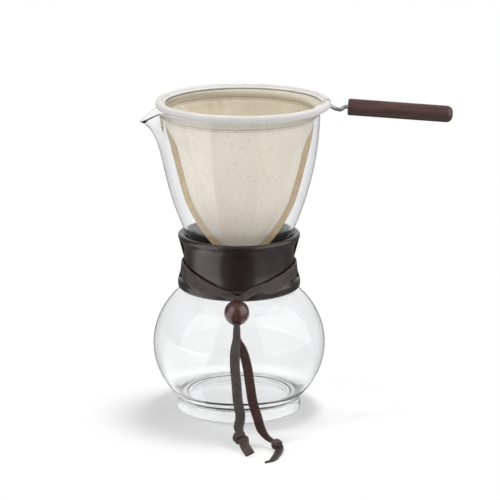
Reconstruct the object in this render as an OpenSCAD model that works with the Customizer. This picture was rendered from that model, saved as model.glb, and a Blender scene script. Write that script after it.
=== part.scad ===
// Pour-over coffee pot: a blown glass pot with a funnel top and a pulled spout, a turned wooden
// collar in two halves tied round the neck with a leather thong and a bead, and a cloth filter
// that hangs in the funnel on a wire ring with a wooden grip.
// Millimetres, +Z up. The origin is on the table, on the axis of the glass. The grip points to
// +X, the spout to -X, and the bead and the tails of the thong are at -Y.

/* [Glass pot] */
// Widest outside diameter of the bulb
bulb_d = 115; // [108:1:124]
// Height of the bulb's outline from pole to pole, with the foot cutting its lower end
bulb_h = 101.6; // [96:0.2:108]
// Height of the bulb's widest circle above the table
bulb_mid_z = 44.7; // [42:0.1:48]
// Outside diameter of the neck at its narrowest
neck_d = 62.4; // [56:0.2:66]
// Outside diameter of the funnel at the rim
funnel_d = 107; // [104:0.2:114]
// Height of the rim above the table
rim_z = 204.7; // [198:0.1:216]
// Radius of the outward curve of the funnel's wall
funnel_curve_r = 205; // [180:1:240]
// Thickness of the glass wall
glass_wall = 2; // [1.6:0.1:2.4]
// Thickness of the fire-polished bead along the rim
rim_bead_d = 2.6; // [2.4:0.1:3.2]
// Outside diameter of the foot ring at the table
foot_d = 82.8; // [80:0.2:88]
// Height of the crease where the bulb meets the foot ring
foot_h = 8; // [6:0.5:9]
// Width of the flat face that the foot ring stands on
foot_land = 1.4; // [1:0.1:2]
// Thickness of the glass in the floor of the pot
floor_t = 2.8; // [2:0.1:4]

/* [Spout] */
// How far the lip of the spout reaches past the rim
spout_reach = 12; // [6:0.5:14]
// How far the lip of the spout dips below the rim
spout_dip = 9.2; // [4:0.2:11]
// Half of the angle of the rim that is drawn out into the spout, in degrees
spout_half_angle = 22; // [18:1:28]
// How far down the wall the groove of the spout runs
spout_run = 40; // [32:1:46]

/* [Wooden collar] */
// Diameter of the bulb's shoulder where the collar sits
collar_seat_d = 75.6; // [73:0.2:76.6]
// Height of the collar
collar_h = 37.6; // [35:0.2:40]
// Outside diameter of the collar at its waist
collar_waist_d = 73.4; // [71:0.2:76]
// Outside diameter of the flange at the foot of the collar
collar_flange_d = 81.6; // [80:0.2:85]
// Height of the flange at the foot of the collar
collar_flange_h = 7.8; // [6:0.2:9]
// Outside diameter of the rounded lip at the top of the collar
collar_lip_d = 81.2; // [78:0.2:86]
// Thickness of the rounded lip
collar_lip_t = 4; // [3:0.2:5]
// Gap between the two halves of the collar
collar_split = 0.3; // [0.2:0.1:1]
// Gap between the collar and the glass
collar_gap = 0.35; // [0.2:0.05:0.6]

/* [Thong and bead] */
// Height of the leather band where it wraps the collar
band_w = 9; // [7:0.2:10]
// Thickness of the leather
leather_t = 1.4; // [1:0.1:1.5]
// Width of the tails of the thong
tail_w = 6.5; // [5:0.1:7]
// Width of the thong where it is gathered in the bead
gathered_w = 4.2; // [3.4:0.1:4.4]
// How far the band drops towards the bead on its left side
band_drop_left = 13.5; // [11:0.5:14]
// How far the band drops towards the bead on its right side
band_drop_right = 11; // [9:0.5:14]
// Gap between the band and the collar
band_gap = 0.25; // [0.2:0.05:0.4]
// Diameter of the bead
bead_d = 16.6; // [15:0.2:17]
// Diameter of the bore through the bead
bead_bore_d = 5.8; // [5.6:0.1:6.6]
// Gap between the bead and the glass that it lies on
bead_gap = 0.3; // [0.2:0.05:0.6]
// Latitude on the bulb where the bead lies, in degrees
bead_latitude = 35.5; // [34:0.5:37]

/* [Filter ring and grip] */
// How far outside the rim's edge the middle of the ring's wire lies
ring_reach = 1.8; // [0.8:0.1:3]
// How far the ring lies off the axis of the glass, towards the grip
ring_shift = 2.85; // [1.5:0.05:4]
// Diameter of the wire
wire_d = 2.2; // [1.6:0.1:2.6]
// Diameter of the wooden grip
grip_d = 11; // [9:0.2:14]
// Length of the wooden grip
grip_l = 69; // [55:1:90]
// Distance from the ring's wire to the near end of the grip
shank_l = 13.55; // [11:0.05:20]
// How far the middle of the grip's near end lies below the ring
grip_drop = 2.5; // [1.5:0.1:4]
// Slope of the grip below the horizontal, in degrees
grip_slope = 4.3; // [0:0.1:8]
// Depth of the wire's two ends in the grip
wire_depth = 18; // [12:1:30]

/* [Cloth filter] */
// Diameter of the hem rolled round the wire
hem_d = 5.2; // [4.6:0.1:5.6]
// Gap between the hem and the rim that it rests on
hem_gap = 0.3; // [0.2:0.05:0.6]
// Gap between the cloth and the glass inside the funnel's mouth
mouth_gap = 1.8; // [1.4:0.1:3]
// Thickness of the cloth
cloth_t = 0.8; // [0.6:0.1:1]
// Thickness of the doubled cloth under the hem
double_t = 1.2; // [1:0.1:1.3]
// Height of the doubled cloth below the ring
double_h = 8; // [7:0.5:10]
// Depth of the pocket from the ring to its lowest edge
pocket_depth = 103.6; // [96:0.2:104]
// Width of the seam allowance round the pocket
seam_w = 4.5; // [3:0.1:5.5]
// How far the seams wave in and out as the cloth hangs
seam_wave = 1.9; // [0:0.1:2.4]
// Diameter of the sewing thread
thread_d = 0.5; // [0.3:0.05:0.7]
// Length of one stitch of the hem
stitch_l = 1.7; // [1.2:0.1:2]
// Number of stitches round the hem
stitch_count = 120; // [80:4:140]

/* [Hidden] */
$fn = 96;

// Small overlap that lets a cut run clear of a face
clear = 0.1;

// Glass: derived sizes
bulb_r = bulb_d / 2;
funnel_r = funnel_d / 2;
foot_r = foot_d / 2;
// Widths of the blends from the bulb into the neck and from the neck into the funnel
shoulder_blend = 6;
throat_blend = 6;
// Below this height the wall is a plain turned shape, above it the spout is drawn out
join_z = rim_z - spout_run;
// Depth and inset of the tongue that the spout's piece sets into the turned wall
join_tongue = 0.5;
join_inset = 0.1;
// Steps of the wall's outline: up the bulb, over the shoulder in the collar, up the funnel
bulb_steps = 18;
shoulder_steps = 18;
funnel_steps = 20;
// How far the shoulder's close steps reach below and above the foot of the collar
shoulder_below = 9;
shoulder_above = 15;
// Steps round the spout's piece, and how much closer they lie at the spout
spout_steps = 96;
spout_crowding = 0.5;
spout_levels = 9;
under_z = foot_h;
floor_z = under_z + floor_t;
// Radius of the flat part of the floor and height of the curve from it into the wall
floor_r = 34;
floor_curve_h = 6;
// How far the floor and its underside rise at the middle
kick_up = 0.8;

// Point on a quadratic curve from a to c, drawn towards b
function curve_at(a, b, c, t) = (1 - t) * (1 - t) * a + 2 * t * (1 - t) * b + t * t * c;

// Larger of two values, blended over the width k where they are close
function smooth_max(a, b, k) = max(a, b) + pow(max(k - abs(a - b), 0), 2) / (4 * k);

// Smooth step from 0 to 1
function ease(t) = let (c = min(1, max(0, t))) c * c * (3 - 2 * c);

function unit(v) = v / norm(v);

// Radius of the bulb's ellipse at height z
function ellipse_at(z) =
    let (t = (z - bulb_mid_z) / (bulb_h / 2))
    abs(t) < 1 ? bulb_r * sqrt(1 - t * t) : 0;

// Radius of the funnel's curve at height z
function funnel_at(z) =
    let (dz = rim_z - z)
    funnel_r - funnel_curve_r + sqrt(max(0, funnel_curve_r * funnel_curve_r - dz * dz));

// Outside radius of the glass at height z, above the foot
function glass_at(z) =
    z < bulb_mid_z
        ? ellipse_at(z)
        : smooth_max(
            smooth_max(ellipse_at(z), neck_d / 2, shoulder_blend), funnel_at(z), throat_blend
        );

function glass_slope(z) = (glass_at(z + 0.05) - glass_at(z - 0.05)) / 0.1;

// Inside radius of the glass at height z
function bore_at(z) = glass_at(z) - glass_wall * sqrt(1 + pow(glass_slope(z), 2));

// Heights of the outline's steps between two levels
function levels(from, to, n) = [for (i = [0:n]) from + (to - from) * i / n];

// Heights of the steps up the wall, closer together over the shoulder that the collar fits
function wall_levels(from) =
    let (low = collar_low_z - shoulder_below, high = collar_low_z + shoulder_above)
    concat(
        levels(from, low, bulb_steps),
        [for (z = levels(low, high, shoulder_steps)) if (z > low) z],
        [for (z = levels(high, join_z, funnel_steps)) if (z > high) z]
    );

// The same list from its end to its start
function turned_over(list) = [for (i = [len(list) - 1:-1:0]) list[i]];

module glass_outline() {
    crease_r = ellipse_at(foot_h);
    foot_round = 1.2;
    foot_wall = 4.2;
    under_r = foot_r - 12;
    curve_top = floor_z + floor_curve_h;
    outer_foot = [
        [foot_r - 1 - foot_land, 0],
        [foot_r - 1, 0],
        [foot_r - 0.3, 0.4],
        for (z = levels(foot_round, foot_h, 5))
            [foot_r - (foot_r - crease_r) * pow(z / foot_h, 2), z]
    ];
    outer_wall = [for (z = wall_levels(foot_h + 0.8)) [glass_at(z), z]];
    inner_wall = [for (z = turned_over(wall_levels(curve_top))) [bore_at(z), z]];
    slope = (bore_at(curve_top + 0.1) - bore_at(curve_top)) / 0.1;
    corner = [bore_at(curve_top) - slope * floor_curve_h, floor_z];
    inner_floor = [
        for (i = [1:5])
            curve_at([bore_at(curve_top), curve_top], corner, [floor_r, floor_z], i / 5),
        [floor_r / 2, floor_z + kick_up * 0.75],
        [0, floor_z + kick_up]
    ];
    underside = [
        [0, under_z + kick_up],
        [under_r / 2, under_z + kick_up * 0.75],
        for (i = [0:5])
            curve_at(
                [under_r, under_z], [foot_r - foot_wall - 1, under_z],
                [foot_r - foot_wall, foot_h / 2], i / 5
            ),
        [foot_r - 1.8 - foot_land, 0.6]
    ];
    polygon(concat(outer_foot, outer_wall, inner_wall, inner_floor, underside));
}

// Share of the spout's full draw at angle a from its middle and height z
function spout_share(a, z) =
    let (
        t = min(1, abs(a) / spout_half_angle),
        w = max(0, (z - join_z) / spout_run),
        across = pow(0.5 + 0.5 * cos(180 * t), 1.1)
    )
    across * (0.25 * pow(w, 1.3) + 0.75 * pow(w, 3.5));

// Point of the spout's piece at angle a from the spout, drawn out from radius r and height z
function drawn(a, r, z) =
    let (share = spout_share(a, z), far = r + spout_reach * share)
    [-far * cos(a), -far * sin(a), z - spout_dip * share];

// Outline of the wall of the spout's piece: up the outside, over the bead and down the inside
function spout_profile() =
    let (
        bead_r = rim_bead_d / 2,
        bead_z = rim_z - bead_r,
        mid = glass_at(bead_z) - glass_wall / 2,
        low = join_z - join_tongue,
        high = bead_z - bead_r
    )
    concat(
        [for (z = [low, join_z]) [glass_at(z) - join_inset, z]],
        [for (z = levels(join_z, high, spout_levels)) if (z > join_z) [glass_at(z), z]],
        [for (a = [-30:30:210]) [mid + bead_r * cos(a), bead_z + bead_r * sin(a)]],
        [for (z = levels(high, join_z, spout_levels)) if (z > join_z) [bore_at(z), z]],
        [for (z = [join_z, low]) [bore_at(z) + join_inset, z]]
    );

// Closed ring of quads, as triangles, between n profile points and m steps round
function ring_faces(n, m) = [
    for (i = [0:m - 1], j = [0:n - 1])
        let (
            a = i * n + j,
            b = i * n + (j + 1) % n,
            c = ((i + 1) % m) * n + (j + 1) % n,
            d = ((i + 1) % m) * n + j
        )
        each [[a, b, c], [a, c, d]]
];

module spout_wall() {
    profile = spout_profile();
    points = [
        for (i = [0:spout_steps - 1])
            let (s = 360 * i / spout_steps, a = s - spout_crowding * sin(s) * 180 / PI)
            each [for (p = profile) drawn(a > 180 ? a - 360 : a, p[0], p[1])]
    ];
    polyhedron(points, ring_faces(len(profile), spout_steps), convexity = 8);
}

module glass_pot() {
    color([0.86, 0.9, 0.9, 0.45]) {
        rotate_extrude() glass_outline();
        spout_wall();
    }
}

// Collar: derived sizes
seat_r = collar_seat_d / 2;
collar_low_z = bulb_mid_z + bulb_h / 2 * sqrt(1 - pow(seat_r / bulb_r, 2));
collar_top_z = collar_low_z + collar_h;
flange_r = collar_flange_d / 2;
flange_mid_z = collar_low_z + collar_flange_h / 2;
waist_r = collar_waist_d / 2;
lip_r = collar_lip_t / 2;
// The waist lies midway up, a little nearer the lip
waist_z = collar_low_z + collar_h * 0.5;
// Radius of the hollow curve below the waist
hollow_low_r = 48;
// Above the waist the wall flares out, ever faster, until it runs into the round of the lip
flare_power = 4;
lip_join_angle = -40;
lip_mid = [collar_lip_d / 2 - lip_r, collar_top_z - lip_r];
lip_join = lip_mid + lip_r * [cos(lip_join_angle), sin(lip_join_angle)];
// How much the flange rounds back at its edges
flange_round = 2.2;
// Depth of the dished inside of the lip
dish_h = 5;

function flange_at(z) =
    let (t = abs(z - flange_mid_z) / (collar_flange_h / 2))
    t > 1.001 ? 0 : flange_r - flange_round * pow(t, 4);

function hollow_at(z) =
    let (dz = z - waist_z)
    dz < 0
        ? waist_r + hollow_low_r - sqrt(max(0, hollow_low_r * hollow_low_r - dz * dz))
        : waist_r + (lip_join[0] - waist_r) * pow(dz / (lip_join[1] - waist_z), flare_power);

// Outside radius of the collar at height z
function collar_at(z) = max(flange_at(z), hollow_at(z));

module collar_outline() {
    dish_z = collar_top_z - dish_h;
    polygon(concat(
        [for (z = levels(collar_low_z, collar_low_z + collar_flange_h, 10)) [flange_at(z), z]],
        [
            for (z = levels(collar_low_z + collar_flange_h + 0.4, lip_join[1], 16))
                [hollow_at(z), z]
        ],
        [for (a = [lip_join_angle + 19:19:150]) lip_mid + lip_r * [cos(a), sin(a)]],
        [
            for (i = [1:4])
                curve_at(
                    lip_mid + lip_r * [cos(150), sin(150)],
                    [glass_at(dish_z) + collar_gap + 0.6, collar_top_z - 2],
                    [glass_at(dish_z) + collar_gap, dish_z], i / 4
                )
        ],
        [for (z = levels(dish_z - 1, collar_low_z, 30)) [glass_at(z) + collar_gap, z]]
    ));
}

// One half of the collar, on the side of -Y, a little short of half a turn
module collar_half() {
    split_angle = asin(collar_split / 2 / waist_r);
    rotate([0, 0, 180 + split_angle])
        rotate_extrude(angle = 180 - 2 * split_angle) collar_outline();
}

module collar_front() {
    color([0.09, 0.06, 0.05]) collar_half();
}

module collar_rear() {
    color([0.09, 0.06, 0.05]) mirror([0, 1, 0]) collar_half();
}

// Bead: it lies on the bulb, and its bore runs down the slope of the glass
bead_x = -1.5;
bead_normal = unit([cos(bead_latitude) / bulb_r, sin(bead_latitude) / (bulb_h / 2)]);
bead_out = bulb_r * cos(bead_latitude) + (bead_d / 2 + bead_gap) * bead_normal[0];
bead_z = bulb_mid_z + bulb_h / 2 * sin(bead_latitude) + (bead_d / 2 + bead_gap) * bead_normal[1];
bead_mid = [bead_x, -bead_out, bead_z];
// Way down the bore, and the way across it that points away from the glass
bore_way = [0, -bead_normal[1], -bead_normal[0]];
stack_way = [0, -bead_normal[0], bead_normal[1]];

module bead() {
    color([0.36, 0.17, 0.13])
        translate(bead_mid) rotate([180 - atan2(bead_normal[1], bead_normal[0]), 0, 0])
            difference() {
                sphere(d = bead_d);
                cylinder(d = bead_bore_d, h = bead_d + 2, center = true);
            }
}

// Flat strip swept through stations, each [middle, way across its width, width, thickness]
function strip_ring(s, way) =
    let (
        across = unit(s[1] - (s[1] * way) * way),
        face = cross(way, across),
        w = s[2] / 2,
        t = s[3] / 2,
        e = t * 0.6
    )
    [
        for (p = [
            [w, -e], [w, e], [w - e, t], [-w + e, t],
            [-w, e], [-w, -e], [-w + e, -t], [w - e, -t]
        ])
            s[0] + p[0] * across + p[1] * face
    ];

// Triangles of a swept tube with n rings of k points and a flat end at each side
function tube_faces(n, k) = concat(
    [
        for (i = [0:n - 2], j = [0:k - 1])
            let (
                a = i * k + j,
                b = i * k + (j + 1) % k,
                c = (i + 1) * k + (j + 1) % k,
                d = (i + 1) * k + j
            )
            each [[a, c, b], [a, d, c]]
    ],
    [for (j = [1:k - 2]) [0, j, j + 1]],
    [for (j = [1:k - 2]) [(n - 1) * k, (n - 1) * k + j + 1, (n - 1) * k + j]]
);

// Way of travel at station i
function way_at(s, i) =
    let (n = len(s))
    unit(s[min(i + 1, n - 1)][0] - s[max(i - 1, 0)][0]);

module strip(s) {
    points = [for (i = [0:len(s) - 1]) each strip_ring(s[i], way_at(s, i))];
    polyhedron(points, tube_faces(len(s), 8), convexity = 6);
}

// Thong: where the band leaves the collar, in degrees from the front
leave_angle = 14;
// Within this angle of the front the band narrows towards the bead
narrow_angle = 34;
band_steps = 24;
band_step = (180 - leave_angle) / band_steps;
leave_w = 5.2;
// Top edge of the band at its sides and its back
band_top_z = collar_low_z + collar_h * 0.49;
// Half of the distance between the thong's two layers in the bore
stack_gap = 0.3;
stack = (leather_t + stack_gap) / 2;
// The thong's own stretch runs from just above the bead to just below it
leg_top = bead_d / 2 + 0.3;
leg_end = bead_d / 2 + 0.5;

function band_width(a) =
    leave_w + (band_w - leave_w) * ease((abs(a) - leave_angle) / (narrow_angle - leave_angle));

function band_top(a, drop) = band_top_z - (abs(a) < 90 ? drop * (1 - sin(abs(a))) : 0);

// Station of the band at angle a from the front, lying on the collar's outside
function band_station(a, drop) =
    let (
        w = band_width(a),
        high = band_top(a, drop),
        low = high - w,
        r_high = collar_at(high),
        r_low = collar_at(low),
        bulge = max([
            for (t = [0.1:0.1:0.9]) collar_at(low + w * t) - (r_low + (r_high - r_low) * t)
        ]),
        lift = max(0, bulge) + band_gap + leather_t / 2,
        r = ((r_high + r_low) / 2 + lift) / cos(band_step / 2),
        out = [sin(a), -cos(a), 0],
        across = unit((r_high - r_low) * out + [0, 0, w])
    )
    [r * out + [0, 0, (high + low) / 2], across, w, leather_t];

// Station in the bead's bore, s along it from the bead's middle, in the layer on one side
function bore_station(s, side) =
    [bead_mid + s * bore_way + side * stack * stack_way, [1, 0, 0], gathered_w, leather_t];

// Station between two others, at share t, with its width turned on the way
function between(a, b, t, lift) = [
    a[0] + (b[0] - a[0]) * t + [0, -lift, lift * 0.3],
    unit(a[1] * (1 - t) + b[1] * t),
    a[2] + (b[2] - a[2]) * t,
    a[3]
];

// Stations from the back of the collar to the end of the thong's stretch in the bore
function side_stations(sign, drop) =
    let (
        on_collar = [
            for (i = [1:band_steps]) band_station(sign * (180 - band_step * i), drop)
        ],
        last = on_collar[band_steps - 1],
        mouth = bore_station(-leg_top, -sign)
    )
    concat(
        on_collar,
        [between(last, mouth, 0.4, 0.5), between(last, mouth, 0.75, 0.3), mouth],
        [bore_station(0, -sign), bore_station(leg_end, -sign)]
    );

module thong_wrap() {
    right = side_stations(1, band_drop_right);
    left = side_stations(-1, band_drop_left);
    back = band_station(180, band_drop_left);
    n = len(left);
    color([0.24, 0.2, 0.19])
        strip(concat([for (i = [n - 1:-1:0]) left[i]], [back], right));
}

// Tails of the thong: route points by hand, each [x, y, z, share of the tail's full width]
TAIL_LEFT = [
    [-1.5, -59.7, 73.2, 0.65], [-1.5, -65, 66.7, 0.78], [-2.6, -70.3, 58.3, 1],
    [-2.8, -74.5, 50.7, 1], [-1.7, -79, 38, 1], [-1, -82, 29.4, 1], [0.7, -85, 18.5, 1],
    [-0.3, -87.1, 11.8, 0.95], [0.2, -88.3, 10.4, 0.85]
];
TAIL_RIGHT = [
    [-1.5, -58.4, 72.2, 0.65], [-1.5, -63.7, 65.6, 0.78], [2.4, -68.4, 58.4, 0.95],
    [5, -73.5, 50.4, 1], [7.2, -78, 37.6, 1], [8.6, -81, 29, 1], [11.8, -84, 18.2, 1],
    [14.4, -86.5, 10.6, 0.92], [17.8, -88.6, 6.4, 0.65], [20.8, -91.3, 5, 0.55]
];
// Cut ends past the knots, each [x, y, z, share of the tail's full width]
END_LEFT = [
    [1.4, -92.5, 6.6, 0.83], [3.6, -99.5, 4.2, 1], [6.8, -109.7, 2.1, 1]
];
END_RIGHT = [
    [25.8, -100.4, 2.7, 0.83], [24.8, -107, 2, 0.95], [23, -114.5, 1.7, 0.92],
    [20.4, -121, 1.4, 0.77], [16.2, -122.8, 1, 0.25]
];
// Balls that the tightened knots are drawn over, each [x, y, z, radius]
KNOT_LEFT = [[-3, -89.7, 6.6, 2.2], [0.8, -90.6, 8, 3], [1.2, -91, 6.2, 2.6]];
KNOT_RIGHT = [[22.6, -94, 4.6, 2.6], [26.4, -98.6, 3.8, 3], [24, -97.4, 3.4, 2.8]];
// How far the cut ends are rolled up on their right side, in degrees
roll_left = 25;
roll_right = 14;

// Place of route point i, and the way of travel there
function route_place(points, i) = [for (k = [0:2]) points[i][k]];

function route_way(points, i) =
    unit(route_place(points, min(i + 1, len(points) - 1)) - route_place(points, max(i - 1, 0)));

// Stations of a tail that hangs with its face to the front
function tail_stations(points) = [
    for (i = [0:len(points) - 1])
        [
            route_place(points, i), unit(cross([0, -1, 0.3], route_way(points, i))),
            i == 0 ? gathered_w : points[i][3] * tail_w, leather_t
        ]
];

// Stations of an end that lies towards the table, rolled up on its right side
function end_stations(points, roll) = [
    for (i = [0:len(points) - 1])
        let (
            way = route_way(points, i),
            flat = unit(cross([0, 0, 1], way)),
            across = flat * cos(roll) + cross(way, flat) * sin(roll)
        )
        [route_place(points, i), across, points[i][3] * tail_w, leather_t]
];

module thong_tail_left() {
    color([0.27, 0.24, 0.23]) strip(tail_stations(TAIL_LEFT));
}

module thong_tail_right() {
    color([0.27, 0.16, 0.14]) strip(tail_stations(TAIL_RIGHT));
}

// Knot pulled tight: a rounded lump over its balls
module knot(balls) {
    hull() for (b = balls) translate([b[0], b[1], b[2]]) sphere(r = b[3], $fn = 32);
}

module thong_knot_left() {
    color([0.25, 0.21, 0.2]) {
        knot(KNOT_LEFT);
        strip(end_stations(END_LEFT, roll_left));
    }
}

module thong_knot_right() {
    color([0.25, 0.18, 0.16]) {
        knot(KNOT_RIGHT);
        strip(end_stations(END_RIGHT, roll_right));
    }
}

// Filter ring: derived sizes
ring_r = funnel_r + ring_reach;
wire_r = wire_d / 2;
hem_r = hem_d / 2;
ring_z = rim_z + hem_gap + hem_r;
ring_mid = [ring_shift, 0, ring_z];
// Each bend of the wire swells a little
bend_r = wire_r + 0.05;
// The wire's two ends lie side by side with a small gap
wire_side = wire_r + 0.1;
// Clearance round the wire in the hem and in the grip
wire_clear = 0.1;
end_angle = asin(wire_side / ring_r);
grip_way = [cos(grip_slope), 0, -sin(grip_slope)];
grip_near = [ring_shift + ring_r + shank_l, 0, ring_z - grip_drop];
// Bends of the wire between the hem and the grip, from the ring's own middle
shank_exit = [ring_shift + ring_r + 4, 0, ring_z - 3.4];
shank_low = grip_near + [-4.6, 0, -2.2];
shank_high = grip_near - 2.2 * grip_way;
shank_end = grip_near + wire_depth * grip_way;
shank_start = [ring_shift + ring_r * cos(end_angle), 0, ring_z];

// Round bar from a to b
module bar(a, b, r) {
    way = b - a;
    length = norm(way);
    translate(a)
        rotate([0, acos(way[2] / length), atan2(way[1], way[0])])
            cylinder(r = r, h = length);
}

module wire_end(side) {
    route = [
        for (p = [shank_start, shank_exit, shank_low, shank_high, shank_end])
            p + [0, side * wire_side, 0]
    ];
    for (i = [0:len(route) - 2]) bar(route[i], route[i + 1], wire_r);
    for (i = [0:len(route) - 2]) translate(route[i]) sphere(r = bend_r);
}

module filter_wire() {
    color([0.75, 0.76, 0.78]) {
        translate(ring_mid)
            rotate([0, 0, end_angle])
                rotate_extrude(angle = 360 - 2 * end_angle)
                    translate([ring_r, 0]) circle(r = wire_r, $fn = 48);
        wire_end(1);
        wire_end(-1);
    }
}

module filter_grip() {
    grip_r = grip_d / 2;
    end_round = 4;
    chamfer = 0.8;
    color([0.33, 0.15, 0.11])
        translate(grip_near) rotate([0, 90 + grip_slope, 0])
            difference() {
                rotate_extrude()
                    polygon(concat(
                        [[0, 0], [grip_r - chamfer, 0], [grip_r, chamfer]],
                        [
                            for (a = [0:15:90])
                                [
                                    grip_r - end_round + end_round * cos(a),
                                    grip_l - end_round + end_round * sin(a)
                                ]
                        ],
                        [[0, grip_l]]
                    ));
                // One bore takes both ends of the wire
                translate([0, 0, -clear])
                    cylinder(r = wire_side + wire_r + wire_clear, h = wire_depth + 2 * clear);
            }
}

// Hem rolled round the wire, open where the wire's two ends leave it
module cloth_hem() {
    color([0.93, 0.91, 0.88])
        difference() {
            translate(ring_mid)
                rotate_extrude()
                    translate([ring_r, 0])
                        difference() {
                            circle(r = hem_r, $fn = 48);
                            circle(r = wire_r + wire_clear, $fn = 48);
                        }
            for (side = [-1, 1])
                translate([0, side * wire_side, 0])
                    bar(shank_start, shank_exit, bend_r + wire_clear);
        }
}

// Cloth pocket: rows from the hem down, columns round from one seam to the other
pocket_low_z = ring_z - pocket_depth;
mouth_r = funnel_r - glass_wall - mouth_gap;
// The cloth hangs straight from here down, just inside the rim
mouth_z = ring_z - 6.6;
pocket_rows = 17;
pocket_columns = 18;
// The last row stops short of the very bottom, where the panel's width runs out
last_share = 0.98;
// Width of the seam allowance inside the hem, where it is trimmed away
trimmed_w = 0.2;
// Half of the gap between the two panels along the seam
seam_gap = 0.05;
// How far the cloth's middle lies off the axis of the glass, at the mouth and in the pocket
mouth_shift = 0.2;
pocket_shift = 1;
// How far the seams stand out below the mouth
seam_flare = 0.9;
// Share of the depth over which the seams wave
wave_share = 0.62;
// Powers of the curves along which the sides and the middle of the pocket draw in
side_power = 1.5;
bulge_power = 1.35;

// Half of the pocket's width, with its seam allowance, at share u of its depth
function pocket_half(u) =
    (mouth_r + seam_flare) * sqrt(1 - pow(u, side_power)) - seam_flare * (1 - ease(u * 8))
    - seam_wave * (u < wave_share ? sin(180 * u / wave_share) : 0);

// Half of the pocket's depth from front to back at share u
function pocket_bulge(u) = mouth_r * (1 - pow(u, bulge_power));

// Middle of the pocket, off the axis of the glass
function pocket_mid(u) = mouth_shift + (pocket_shift - mouth_shift) * ease(u * 4);

function pocket_z(u) = mouth_z - (mouth_z - pocket_low_z) * u;

// Seam allowance at share u
function seam_at(u) = trimmed_w + (seam_w - trimmed_w) * ease(u * 4);

// Edge of the pocket on the right, and the way out of it, both as [x, z]
function edge_at(u) = [pocket_half(u), pocket_z(u)];

function edge_out(u) =
    let (d = unit(edge_at(min(u + 0.005, 0.995)) - edge_at(u - 0.005)))
    [-d[1], d[0]];

// Rows from the hem over the rim: [middle, radius, height below the ring]
over_rim = [
    [ring_shift, ring_r - hem_r - double_t / 2 - clear, 1],
    [(ring_shift + mouth_shift) / 2, mouth_r + 0.9, 1.6],
    [mouth_shift, mouth_r, 3]
];

// One row of the middle surface of the front panel, from its right edge to its left
function rim_row(k) =
    let (
        c = over_rim[k][0],
        r = over_rim[k][1],
        z = ring_z - over_rim[k][2],
        t = double_t / 2 + seam_gap
    )
    concat(
        [[c + r + trimmed_w, -t, z]],
        [
            for (j = [0:pocket_columns])
                let (a = 180 * j / pocket_columns)
                [c + r * cos(a), -t - (r - t) * sin(a), z]
        ],
        [[c - r - trimmed_w, -t, z]]
    );

function pocket_row(u) =
    let (
        e = edge_at(u),
        o = edge_out(max(u, 0.005)),
        w = seam_at(u),
        s = e - w * o,
        c = pocket_mid(u),
        t = cloth_at(u) / 2 + seam_gap,
        b = max(0, pocket_bulge(u) - t),
        m = 1 + 0.5 * ease(u * 2)
    )
    concat(
        [[c + e[0], -t, e[1]]],
        [
            for (j = [0:pocket_columns])
                let (a = 180 * j / pocket_columns, lift = sin(a))
                [c + s[0] * cos(a), -t - b * pow(lift, m), s[1] + (e[1] - s[1]) * 0.3 * lift]
        ],
        [[c - e[0], -t, e[1]]]
    );

// Thickness of the cloth at share u: double under the hem, then single
function cloth_at(u) = u * (mouth_z - pocket_low_z) < double_h - 3 ? double_t : cloth_t;

// The seam allowance under the pocket closes the last row
function bottom_row() =
    let (
        u = last_share,
        c = pocket_mid(u),
        e = edge_at(u),
        o = edge_out(u),
        t = cloth_t / 2 + seam_gap,
        w = e[0] - seam_w * o[0]
    )
    concat(
        [[c + e[0] - 0.6, -t, pocket_low_z - 0.5]],
        [
            for (j = [0:pocket_columns])
                let (a = 180 * j / pocket_columns)
                [c + w * cos(a), -t, pocket_low_z - 1 - 0.5 * sin(a)]
        ],
        [[c - e[0] + 0.6, -t, pocket_low_z - 0.5]]
    );

function row_share(i) = last_share * (1 - pow(1 - i / pocket_rows, 1.25));

// Way out of the surface of a grid of points at row i and column j
function grid_normal(g, i, j) =
    let (
        n = len(g), m = len(g[0]),
        down = g[min(i + 1, n - 1)][j] - g[max(i - 1, 0)][j],
        along = g[i][min(j + 1, m - 1)] - g[i][max(j - 1, 0)]
    )
    unit(cross(along, down));

// Closed sheet: a grid of the middle surface, thickened by each row's own thickness
module sheet(grid, thickness) {
    n = len(grid);
    m = len(grid[0]);
    outer = [
        for (i = [0:n - 1], j = [0:m - 1])
            grid[i][j] + grid_normal(grid, i, j) * thickness[i] / 2
    ];
    inner = [
        for (i = [0:n - 1], j = [0:m - 1])
            grid[i][j] - grid_normal(grid, i, j) * thickness[i] / 2
    ];
    h = n * m;
    cells = [
        for (i = [0:n - 2], j = [0:m - 2])
            let (a = i * m + j, b = a + 1, c = a + m + 1, d = a + m)
            each [[a, c, b], [a, d, c], [h + a, h + b, h + c], [h + a, h + c, h + d]]
    ];
    rim = concat(
        [for (j = [0:m - 2]) [j + 1, j]],
        [for (i = [0:n - 2]) [i * m, (i + 1) * m]],
        [for (j = [0:m - 2]) [(n - 1) * m + j, (n - 1) * m + j + 1]],
        [for (i = [0:n - 2]) [(i + 2) * m - 1, (i + 1) * m - 1]]
    );
    edges = [
        for (e = rim)
            each [[e[0], h + e[1], e[1]], [e[0], h + e[0], h + e[1]]]
    ];
    polyhedron(concat(outer, inner), concat(cells, edges), convexity = 8);
}

module cloth_panel() {
    grid = concat(
        [for (k = [0:2]) rim_row(k)],
        [for (i = [0:pocket_rows]) pocket_row(row_share(i))],
        [bottom_row()]
    );
    thickness = concat(
        [for (k = [0:2]) double_t],
        [for (i = [0:pocket_rows]) cloth_at(row_share(i))],
        [cloth_t]
    );
    sheet(grid, thickness);
}

module cloth_front() {
    color([0.87, 0.83, 0.76]) cloth_panel();
}

module cloth_rear() {
    color([0.85, 0.81, 0.74]) mirror([0, 1, 0]) cloth_panel();
}

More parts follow.
